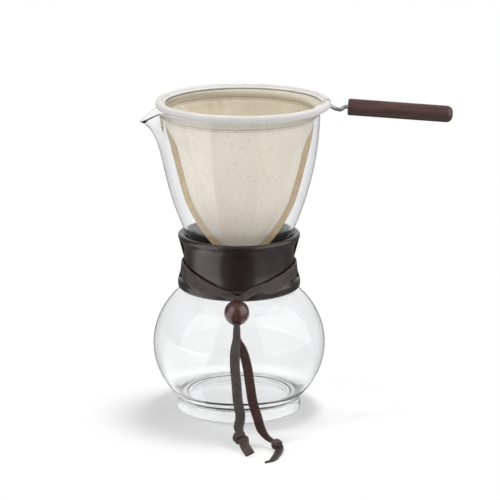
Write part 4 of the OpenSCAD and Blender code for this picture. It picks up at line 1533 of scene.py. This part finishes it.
@dataclass
class FilterRing:
    """Wire ring whose two ends run into a wooden grip."""

    ring_r: float = 55.3
    ring_x: float = 2.85
    ring_z: float = 207.6
    wire_r: float = 1.1
    bend_r: float = 2.2
    side: float = 1.2
    shank: float = 13.55
    drop: float = 2.5
    slope: float = 4.3
    depth: float = 18.0
    grip_r: float = 5.5
    grip_l: float = 69.0
    grip_end_r: float = 4.0

    def __post_init__(self) -> None:
        """Work out the grip's place."""
        s = math.radians(self.slope)
        self.way = np.array([math.cos(s), 0, -math.sin(s)])
        self.near = np.array([self.ring_x + self.ring_r + self.shank, 0, self.ring_z - self.drop])

    def wire(self, finish: bpy.types.Material) -> None:
        """Bend the wire: out of the grip, round the ring and back.

        Args:
            finish: the wire's material.
        """
        angle = math.asin(self.side / self.ring_r)
        corners = np.array(
            [
                self.near + self.depth * self.way,
                self.near - 2.2 * self.way,
                self.near + np.array([-4.6, 0, -2.2]),
                [self.ring_x + self.ring_r + 4, 0, self.ring_z - 3.4],
                [self.ring_x + self.ring_r * math.cos(angle), 0, self.ring_z],
            ]
        )
        aside = np.array([0, self.side, 0])
        a = np.linspace(angle, TAU - angle, 361)
        x, y = self.ring_x + self.ring_r * np.cos(a), self.ring_r * np.sin(a)
        ring = np.stack([x, y, np.full_like(a, self.ring_z)], 1)
        rough = np.vstack([(corners + aside)[:-1], ring, (corners - aside)[::-1][1:]])
        path = self.rounded(rough, self.bend_r)
        piece = make_object("Filter_wire", [round_bar(path, self.wire_r, 20)], [finish], sharp=60)
        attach(piece, "filter")
        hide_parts("filter_wire")
        LOG.info("filter wire: %d places", len(path))

    @staticmethod
    def rounded(path: np.ndarray, radius: float) -> np.ndarray:
        """Path with its corners rounded.

        Args:
            path: corner points.
            radius: length of the curve on each side of a corner.

        Returns:
            The smoother path.
        """
        straight = math.radians(172)
        out = [path[0]]
        for a, b, c in zip(path, path[1:], path[2:]):
            one, two = a - b, c - b
            if math.acos(max(-1, min(1, float(np.dot(unit(one), unit(two)))))) > straight:
                out.append(b)
                continue
            reach = min(radius, np.linalg.norm(one) * 0.48, max(np.linalg.norm(two) * 0.48, 0.4))
            out.extend(curve_at(b + unit(one) * reach, b, b + unit(two) * reach, np.linspace(0, 1, 9)))
        out.append(path[-1])
        return np.array(out)

    def grip(self, finish: bpy.types.Material) -> None:
        """Turn the grip.

        Args:
            finish: the wood.
        """
        r, length, end = self.grip_r, self.grip_l, self.grip_end_r
        bore, deep = self.side + self.wire_r + 0.1, self.depth + 0.2
        inner = [(0, deep), (bore, deep), (bore, 0.3), (bore + 0.3, 0), (r - 1.6, 0.0)]
        near = curve_at((r - 1.0, 0.02), (r, 0.05), (r, 1.1), np.linspace(0, 1, 7))
        side = [(r, z) for z in np.linspace(2, length - 4.4, 40)]
        a = np.radians(np.linspace(0, 90, 14))
        far = np.stack([r - end + end * np.cos(a), length - end + end * np.sin(a)], 1)
        profile = np.vstack([inner, near, side, far, [(0, length)]])
        skin = turned(profile, 72, self.near, self.way, (0, 1, 0))
        piece = make_object("Filter_grip", [skin], [finish], sharp=40)
        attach(piece, "filter")
        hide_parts("filter_grip")
        LOG.info("filter grip")

    def build(self, metal: bpy.types.Material, wood: bpy.types.Material) -> None:
        """Make the wire and the grip."""
        self.wire(metal)
        self.grip(wood)


# cloth


class StitchTree:
    """Geometry nodes that lay thread stitches along a path."""

    SIZES = ("Spacing", "Stitch length", "Half width", "Depth", "Rise", "Thread radius")
    LEAST = (0.92, 0.94, 0.88)
    MOST = (1.08, 1.06, 1.08)

    def __init__(self, name: str, finish: bpy.types.Material) -> None:
        """Build the tree.

        Args:
            name: the tree's name.
            finish: the thread's material.
        """
        self.tree = bpy.data.node_groups.new(name, "GeometryNodeTree")
        sockets = [("Path", "Geometry"), *((label, "Float") for label in self.SIZES), ("Seed", "Int")]
        for label, kind in sockets:
            self.tree.interface.new_socket(label, in_out="INPUT", socket_type="NodeSocket" + kind)
        self.tree.interface.new_socket("Stitches", in_out="OUTPUT", socket_type="NodeSocketGeometry")
        source = self.tree.nodes.new("NodeGroupInput").outputs
        line = self.add("MeshToCurve", {"Mesh": source["Path"]})
        even = self.add("ResampleCurve", {"Curve": line, "Length": source["Spacing"]}, mode="LENGTH")
        out = add_node(
            self.tree, "GeometryNodeInputNamedAttribute", {"Name": "out"}, {"data_type": "FLOAT_VECTOR"}
        )
        ways = {0: self.add("InputTangent"), 1: out.outputs["Attribute"]}
        axes = {"primary_axis": "X", "secondary_axis": "Z"}
        aim = add_node(self.tree, "FunctionNodeAxesToRotation", ways, axes).outputs[0]
        thread = self.add("CurvePrimitiveCircle", {"Resolution": 5, "Radius": source["Thread radius"]})
        legs = add_node(self.tree, "GeometryNodeJoinGeometry", {}, {})
        for sign in (-1, 1):
            self.tree.links.new(self.leg(source, sign), legs.inputs[0])
        solid = self.add(
            "CurveToMesh", {"Curve": legs.outputs[0], "Profile Curve": thread, "Fill Caps": True}
        )
        spans = {"Seed": source["Seed"], "Min": self.LEAST, "Max": self.MOST}
        vary = add_node(
            self.tree, "FunctionNodeRandomValue", spans, {"data_type": "FLOAT_VECTOR"}
        ).outputs[0]
        spread = self.add(
            "InstanceOnPoints", {"Points": even, "Instance": solid, "Rotation": aim, "Scale": vary}
        )
        real = self.add("RealizeInstances", {"Geometry": spread})
        smooth = self.add("SetShadeSmooth", {"Geometry": real})
        dress = self.add("SetMaterial", {"Geometry": smooth, "Material": finish})
        add_node(self.tree, "NodeGroupOutput", {0: dress}, {})

    def add(self, kind: str, inputs: dict | None = None, **settings: object) -> Socket:
        """First output of a new geometry node, its type without GeometryNode in front."""
        return add_node(self.tree, "GeometryNode" + kind, inputs or {}, settings).outputs[0]

    def times(self, value: Socket, factor: float) -> Socket:
        """A size times a number."""
        numbers = {0: value, 1: factor}
        return add_node(self.tree, "ShaderNodeMath", numbers, {"operation": "MULTIPLY"}).outputs[0]

    def spot(self, x: Socket, y: Socket, z: Socket) -> Socket:
        """A point of three sizes."""
        return add_node(self.tree, "ShaderNodeCombineXYZ", {0: x, 1: y, 2: z}, {}).outputs[0]

    def leg(self, source: Mapping[str, Socket], sign: int) -> Socket:
        """Half of a stitch: from its foot in the cloth to its highest point.

        Args:
            source: the tree's inputs, by name.
            sign: -1 for the first half, 1 for the second.

        Returns:
            The socket with the curve.
        """
        long, deep, rise = source["Stitch length"], source["Depth"], source["Rise"]
        wide = self.times(source["Half width"], sign)
        none, up = self.times(source["Half width"], 0.0), self.times(rise, 1.0)
        foot = self.spot(self.times(long, 0.5 * sign), wide, self.times(deep, -1.0))
        low = self.spot(self.times(long, 0.36 * sign), wide, self.times(deep, -0.33))
        high = self.spot(self.times(long, 0.14 * sign), wide, up)
        bend = {"Start": foot, "Start Handle": low, "End Handle": high, "End": self.spot(none, none, up)}
        return self.add("CurvePrimitiveBezierSegment", {"Resolution": 6, **bend})

    def sew(
        self,
        name: str,
        paths: Sequence[tuple[np.ndarray, np.ndarray, bool]],
        sizes: Sequence[float],
        seed: int,
    ) -> bpy.types.Object:
        """Lay the stitches and turn them into a plain mesh.

        Args:
            name: the piece's name.
            paths: each path's points, its ways out, and whether it closes.
            sizes: the sizes in SIZES' order, in millimetres.
            seed: seed of the small differences.

        Returns:
            The piece.
        """
        edges, start = [], 0
        for path, _, closed in paths:
            count = len(path)
            edges.extend((start + i, start + i + 1) for i in range(count - 1))
            if closed:
                edges.append((start + count - 1, start))
            start += count
        mesh = bpy.data.meshes.new(name + "_path")
        mesh.from_pydata((np.vstack([path for path, _, _ in paths]) * MM).tolist(), edges, [])
        outs = np.vstack([out for _, out, _ in paths]).astype(np.float32)
        mesh.attributes.new("out", "FLOAT_VECTOR", "POINT").data.foreach_set("vector", outs.reshape(-1))
        path_piece = stood(name + "_path", mesh)
        modifier = path_piece.modifiers.new("stitches", "NODES")
        modifier.node_group = self.tree
        keys = {s.name: s.identifier for s in self.tree.interface.items_tree if s.in_out == "INPUT"}
        for label, value in zip(self.SIZES, sizes):
            modifier[keys[label]] = value * MM
        modifier[keys["Seed"]] = seed
        bpy.context.view_layer.update()
        graph = bpy.context.evaluated_depsgraph_get()
        done = bpy.data.meshes.new_from_object(path_piece.evaluated_get(graph), depsgraph=graph)
        path_piece.modifiers.remove(modifier)
        bpy.data.objects.remove(path_piece)
        done.name = name
        return stood(name, done)


@dataclass
class ClothFilter:
    """Cloth pocket of two panels, hung from a hem rolled round the wire ring.

    Attributes:
        ring: the wire ring.
        hem_r: radius of the rolled hem.
        hem_gap: half of its opening at the wire's ends, in degrees.
        lip: height of the ridge inside the hem, where its cloth goes down into the pocket.
        lip_at, lip_w: place and width of that ridge round the roll, in radians.
        mouth_r, mouth_z: radius and height of the pocket's mouth.
        low_z: height of the pocket's lowest point.
        cloth: thickness of the cloth.
        doubled, doubled_h: thickness and height of the doubled cloth under the hem.
        row_rise: how much higher the stitches lie at the rear.
        seam_w: width of the seam allowance.
        wave: how far the pocket's edge sways in.
        flare: how far its edge stands out under the mouth.
        mouth_shift, pocket_shift: shift to the right at the mouth and below it.
        last: share of the depth where the rows end.
        trimmed: seam allowance at the mouth.
        seam_edge: how much the cloth takes the seam allowance's colour, partly painted shade, in each column
            from the seam.
        clear: half of the gap between the panels.
        fins: steps over a seam allowance.
        columns, rows: steps round half of the pocket and down it.
        overcast, overcast_seed: sizes and seed of the seam's stitches.
        running, running_seed: sizes and seed of the stitches under the hem.
    """

    ring: FilterRing
    hem_r: float = 2.6
    hem_gap: float = 2.7
    lip: float = 1.45
    lip_at: float = 3.05
    lip_w: float = 0.19
    mouth_r: float = 49.7
    mouth_z: float = 201.0
    low_z: float = 104.0
    cloth: float = 0.8
    doubled: float = 1.2
    doubled_h: float = 8.0
    row_rise: float = 2.4
    seam_w: float = 4.5
    wave: float = 1.9
    flare: float = 0.9
    mouth_shift: float = 0.2
    pocket_shift: float = 1.0
    last: float = 0.98
    trimmed: float = 0.2
    seam_edge: tuple = (1, 1, 1, 1, 1, 0.8, 0.2)
    clear: float = 0.05
    fins: int = 5
    columns: int = 150
    rows: int = 110
    overcast: tuple = (1.3, 1.2, 1.0, 4.5, 0.24, 0.24)
    overcast_seed: int = 3
    running: tuple = (2.15, 1.35, 0.0, 0.3, 0.2, 0.22)
    running_seed: int = 5

    def height_at(self, u: np.ndarray) -> np.ndarray:
        """Height at share u of the pocket's depth."""
        return self.mouth_z - (self.mouth_z - self.low_z) * u

    def shift_at(self, u: np.ndarray) -> np.ndarray:
        """Shift of the pocket's middle to the right at share u."""
        return self.mouth_shift + (self.pocket_shift - self.mouth_shift) * ease(u * 4)

    def half(self, u: np.ndarray) -> np.ndarray:
        """Half of the pocket's width with its seam allowance at share u of the depth."""
        wave = np.where(u < 0.62, np.sin(np.pi * u / 0.62), 0)
        full = (self.mouth_r + self.flare) * np.sqrt(np.maximum(0, 1 - u**1.5))
        return full - self.flare * (1 - ease(u * 8)) - self.wave * wave

    def edge_out(self, u: np.ndarray) -> np.ndarray:
        """Way out of the pocket's edge at share u, as x and z."""
        a, b = u - 0.005, np.minimum(u + 0.005, 0.995)
        rise = -(self.mouth_z - self.low_z) * (b - a)
        d = unit(np.stack([self.half(b) - self.half(a), rise], -1))
        return np.stack([-d[..., 1], d[..., 0]], -1)

    def folds(self, a: np.ndarray, u: np.ndarray) -> np.ndarray:
        """How far the cloth falls inwards at angle a and share u."""
        soft = np.zeros(np.broadcast(a, u).shape)
        for at, wide, lean, deep, first, last in (
            (0.42, 0.10, 0.22, 2.2, 0.02, 0.95),
            (0.74, 0.13, 0.18, 1.6, 0.15, 0.9),
            (1.12, 0.16, 0.10, 0.9, 0.25, 0.85),
            (2.05, 0.20, -0.12, 0.8, 0.2, 0.85),
            (2.62, 0.11, -0.25, 1.7, 0.05, 0.9),
        ):
            hill = np.exp(-(((a - at - lean * u) / wide) ** 2))
            soft = soft + deep * hill * ease((u - first) / 0.3) * ease((last - u) / 0.25)
        gathered = 0.22 * ease(u / 0.02) * ease((0.14 - u) / 0.1)
        return soft + gathered * (1 + np.sin(a * 29 + np.sin(a * 7) * 2))

    def finned(self, body: np.ndarray, tip: Sequence[float], c: float) -> np.ndarray:
        """Row of a panel with its seam allowance at both ends.

        Args:
            body: the row between the seams, right to left.
            tip: half of the whole width, and y and z of the cut edge.
            c: middle of the row.

        Returns:
            The whole row, right edge to left.
        """
        share = np.linspace(0, 1, self.fins + 1)[:-1, None]
        right, left = (
            np.array([c + side * tip[0], *tip[1:]]) * (1 - share) + end * share
            for side, end in ((1, body[0]), (-1, body[-1]))
        )
        return np.vstack([right, body, left[::-1]])

    def pocket_row(self, u: float, t: float) -> np.ndarray:
        """Row of the front panel's middle surface at share u, right edge to left."""
        v = np.array(u, float)
        e = np.array([float(self.half(v)), self.height_at(u)])
        w = self.trimmed + (self.seam_w - self.trimmed) * float(ease(v * 4))
        s = e - w * self.edge_out(np.maximum(v, 0.005))
        c = float(self.shift_at(v))
        gap = t / 2 + self.clear
        bulge = max(0.0, self.mouth_r * (1 - u**1.35) - gap)
        power = 1 + 0.1 * float(ease(v * 2))
        a = np.linspace(0, np.pi, self.columns + 1)
        lift = np.sin(a)
        fall = self.folds(a, v) * ease(lift * 3)
        x = c + s[0] * np.cos(a) * (1 - fall / max(s[0], 1) * np.abs(np.cos(a)))
        y = -gap - np.maximum(0, bulge * lift**power - fall * lift)
        body = np.stack([x, y, s[1] + (e[1] - s[1]) * 0.3 * lift], 1)
        return self.finned(body, (e[0], -gap, e[1]), c)

    def rim_row(self, c: float, r: float, z: float) -> np.ndarray:
        """Row between the hem and the mouth, on a circle."""
        gap = self.doubled / 2 + self.clear
        a = np.linspace(0, np.pi, self.columns + 1)
        body = np.stack([c + r * np.cos(a), -gap - (r - gap) * np.sin(a), np.full_like(a, z)], 1)
        return self.finned(body, (r + self.trimmed, -gap, z), c)

    def thickness_at(self, z: float) -> float:
        """Thickness of the cloth at height z."""
        edge = self.mouth_z - self.doubled_h + 3
        return self.cloth + (self.doubled - self.cloth) * float(ease((z - edge) / 0.8))

    def middle_surface(self) -> tuple[np.ndarray, np.ndarray]:
        """Middle surface of the front panel and its thickness in each row."""
        ring = self.ring
        hung = [
            (ring.ring_x, ring.ring_r - self.hem_r - self.doubled / 2 - 0.1, ring.ring_z - 1),
            (ring.ring_x * 0.55, self.mouth_r + 0.9, ring.ring_z - 1.6),
            (self.mouth_shift, self.mouth_r, ring.ring_z - 3),
            (self.mouth_shift, self.mouth_r, self.mouth_z),
        ]
        grid = [self.rim_row(c, r, z) for c, r, z in spline(hung, 9)[:-1]]
        thick = [self.doubled] * len(grid)
        for i in range(self.rows + 1):
            u = self.last * (1 - (1 - i / self.rows) ** 1.15)
            thick.append(self.thickness_at(self.height_at(u)))
            grid.append(self.pocket_row(u, thick[-1]))
        last = grid[-1]
        bottom = last.copy()
        bottom[:, 1] = -self.cloth / 2 - self.clear
        bottom[:, 2] = self.low_z - 0.5 - 0.6 * np.sin(np.linspace(0, np.pi, len(last)))
        middle = last[:, 0].mean()
        bottom[:, 0] = middle + (last[:, 0] - middle) * 0.93
        for share in (0.35, 0.7, 1.0):
            drawn = last * (1 - share) + bottom * share
            drawn[:, 1] = last[:, 1] * (1 - share) ** 0.7 + bottom[:, 1] * (1 - (1 - share) ** 0.7)
            grid.append(drawn)
            thick.append(self.cloth)
        return np.array(grid), np.array(thick)

    def normals(self, grid: np.ndarray) -> np.ndarray:
        """Ways out of the front panel at each point of its grid."""
        out = unit(np.cross(np.gradient(grid, axis=1), np.gradient(grid, axis=0)))
        return -out if out[20, self.columns // 2, 1] > 0 else out

    def panel(self, name: str, rear: bool, finish: bpy.types.Material) -> None:
        """Cut and hang one panel.

        Args:
            name: the piece's name.
            rear: whether it is the panel at the back.
            finish: the cloth.
        """
        grid, thick = self.middle_surface()
        half = self.normals(grid) * thick[:, None, None] / 2
        mirror = np.array([1, -1 if rear else 1, 1])
        outer, inner, grid = (g * mirror for g in (grid + half, grid - half, grid))
        across = np.stack([run_along(row) for row in grid])
        across -= across[:, -1:] / 2
        down = run_along(grid[:, self.columns // 2])
        flat = np.stack([across, np.broadcast_to(down[:, None], across.shape)], -1)
        loop = np.concatenate([outer, inner[:, ::-1]], axis=1)
        flat_loop = np.concatenate([flat, flat[:, ::-1], flat[:, :1]], axis=1)
        n, m = grid.shape[:2]
        seam = np.zeros(m)
        seam[: len(self.seam_edge)] = seam[: -len(self.seam_edge) - 1 : -1] = self.seam_edge
        edge = np.broadcast_to(np.concatenate([seam, seam[::-1]]), (n, 2 * m)).copy()
        # the lowest rows take the seam allowance's colour too: the seam that runs under them, and painted
        # shade at the pocket's bottom
        edge[-4:] = 1
        skin = grid_skin(loop, flat_loop, wrap_columns=True, edge=edge)
        j = np.arange(m - 1)
        for first, rim in ((0, True), ((n - 1) * 2 * m, False)):
            a, b = first + j, first + j + 1
            c, d = first + 2 * m - 2 - j, first + 2 * m - 1 - j
            skin.faces.append(np.stack([a, d, c, b] if rim else [a, b, c, d], 1))
            skin.flat.append(np.zeros((m - 1, 4, 2)))
            skin.finish.append(np.zeros(m - 1, int))
        piece = make_object(name, [skin], [finish], sharp=70)
        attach(piece, "filter")
        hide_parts(name.lower())
        LOG.info("%s: %d points", name, len(skin.points))

    def hem(self, finish: bpy.types.Material) -> bpy.types.Object:
        """Roll the hem round the wire, open where the wire's ends leave it.

        Args:
            finish: the cloth of the hem.

        Returns:
            The piece.
        """
        ring = self.ring
        gap = math.radians(self.hem_gap)
        a = np.linspace(gap, TAU - gap, 420)
        around = 40
        b = np.linspace(0, TAU, around, endpoint=False)
        pucker = 0.06 * np.sin(a * 61 + 2 * np.sin(a * 5)) + 0.05 * np.sin(a * 37 + 1)
        slant = 0.03 * np.sin(a[:, None] * 44 + b[None] + np.sin(a * 3)[:, None] * 3)
        r = self.hem_r * 0.97 + pucker[:, None] * 0.6 + slant * 0.6
        end = ease(np.minimum(a - gap, TAU - gap - a) * ring.ring_r / 0.9)[:, None]
        r = r * (0.86 + 0.14 * end)
        r = r + self.lip * (np.exp(-(((b - self.lip_at) / self.lip_w) ** 2))[None] * end)
        sway = 0.12 * np.sin(a * 3 + 1) + 0.08 * np.sin(a * 7)
        far = ring.ring_r + r * np.cos(b)[None]
        x, y = ring.ring_x + far * np.cos(a)[:, None], far * np.sin(a)[:, None]
        z = ring.ring_z + 0.05 + sway[:, None] * 0.5 + r * np.sin(b)[None]
        flat = flat_grid(a * ring.ring_r, np.linspace(0, TAU * self.hem_r, around + 1))
        skin = grid_skin(np.stack([x, y, z], -1), flat, wrap_columns=True)
        close_ends(skin, around, bulges=((-0.3, 0.2, 0), (-0.3, -0.2, 0)))
        piece = make_object("Cloth_hem", [skin], [finish], sharp=70)
        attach(piece, "filter")
        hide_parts("cloth_hem")
        LOG.info("hem: %d points", len(skin.points))
        return piece

    def seam_path(self) -> tuple[np.ndarray, np.ndarray]:
        """Path of the overcast edge round the pocket and its ways out."""
        u = self.last * (1 - (1 - np.linspace(0.11, 1, 60)) ** 1.3)
        u = np.unique(np.round(np.maximum(u, 0.13), 6))
        c, o, x, z = self.shift_at(u), self.edge_out(u), self.half(u), self.height_at(u)
        right, left = (np.stack([c + side * x, 0 * x, z], 1) for side in (1, -1))
        under = np.array([[self.pocket_shift + d, 0, self.low_z - 1.1] for d in (4.5, 0, -4.5)])
        out_right, out_left = (np.stack([side * o[:, 0], 0 * x, o[:, 1]], 1) for side in (1, -1))
        path = np.vstack([right, under, left[::-1]])
        out = np.vstack([out_right, np.array([[0, 0, -1.0]] * 3), out_left[::-1]])
        both = spline(np.hstack([path, out]), 260)
        return both[:, :3], unit(both[:, 3:])

    def hem_paths(self) -> list[tuple[np.ndarray, np.ndarray, bool]]:
        """Rows of stitches under the hem, outside and inside."""
        z = self.ring.ring_z - self.doubled_h
        grid, thick = self.middle_surface()
        heights = grid[:, self.columns // 2, 2]
        i, k = (int(np.argmin(np.abs(heights - z - rise))) for rise in (0, self.row_rise))
        out = self.normals(grid)
        inset = slice(6, -6)
        mirror = np.array([1, -1, 1])
        front = grid[i, inset]
        share = ease(np.linspace(0, 1, len(front)) * 12)
        share = (share * share[::-1])[:, None]
        rear = front * (1 - share) + grid[k, inset] * share
        row = np.vstack([front, rear[::-1] * mirror])
        way = np.vstack([out[i, inset], out[k, inset][::-1] * mirror])
        half = thick[i] / 2
        return [(row + way * half, way, True), (row - way * half, -way, True)]

    def build(
        self,
        roll: bpy.types.Material,
        cloth: bpy.types.Material,
        rear_shaded_cloth: bpy.types.Material,
        overcast: bpy.types.Material,
        running: bpy.types.Material,
    ) -> None:
        """Sew the filter.

        Args:
            roll: cloth of the hem.
            cloth: cloth of the front panel.
            rear_shaded_cloth: cloth of the rear panel, darker than the front's as painted shade inside the
                pocket.
            overcast: thread of the seam.
            running: thread of the hem.
        """
        hem = self.hem(roll)
        seam = StitchTree("overcast_stitches", overcast).sew(
            "Seam_thread", [(*self.seam_path(), False)], self.overcast, self.overcast_seed
        )
        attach(seam, "filter")
        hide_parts("seam_thread")
        rows = StitchTree("running_stitches", running).sew(
            "Hem_thread", self.hem_paths(), self.running, self.running_seed
        )
        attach(rows, "filter")
        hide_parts("hem_thread")
        LOG.info("stitches: %d and %d points", len(seam.data.vertices), len(rows.data.vertices))
        self.panel("Cloth_front", False, cloth)
        # the rear panel takes the darker cloth: painted shade inside the pocket
        self.panel("Cloth_rear", True, rear_shaded_cloth)


def main() -> None:
    """Build every part of the coffee pot."""
    logging.basicConfig(level=logging.INFO, format="%(name)s: %(message)s")
    Studio().build()
    pot = GlassPot()
    pot.build(GlassFinish().make())
    collar = Collar(pot)
    collar.build(
        WoodFinish("collar_lacquer", "190b0a", "241210", (0, 0, 35), 260, 0.34, 0.5, 0.16, 0.12).make()
    )
    bead = Bead(pot)
    bead.build(
        WoodFinish("bead_wood", "2c130e", "5a2c20", (0, -51, 90), 500, 0.32, 0.9, 0.06, 0.12).make()
    )
    grain = LeatherFinish("thong_grain", Face.GRAIN, "332c2a", "494240").make()
    suede = LeatherFinish("thong_suede", Face.SUEDE, "251614", "412620").make()
    Thong(collar, bead).build(grain, suede)
    ring = FilterRing()
    ring.build(
        WireFinish().make(),
        WoodFinish("grip_wood", "321917", "502c28", (0, 4.3, 0), 520, 0.5, 0.6, 0.3, 0.3).make(),
    )
    rows = (199.85, 202.05)
    ClothFilter(ring).build(
        # the hem's cloth is greyer than its own near-white: painted shade for its front
        ClothFinish("hem_flannel_shaded", "c5c5c5", "bbbbbb", specks=0.15, through=0.08).make(),
        ClothFinish("pocket_flannel", "f4eee3", "ece3d4", specks=0.6, rows=rows).make(),
        # the rear cloth is the front's made darker, painted shade inside the pocket; its band over the
        # stitches is darker still, painted shade under the hem
        ClothFinish("rear_flannel_shaded", "e9e1d1", "ddd2bd", specks=0.45, rows=rows, doubled="7d7468").make(),
        ThreadFinish("overcast_thread", "f6e9c8", "d0b681").make(),
        ThreadFinish("running_thread", "e9dcba", "b8a680").make(),
    )


if __name__ == "__main__":
    main()
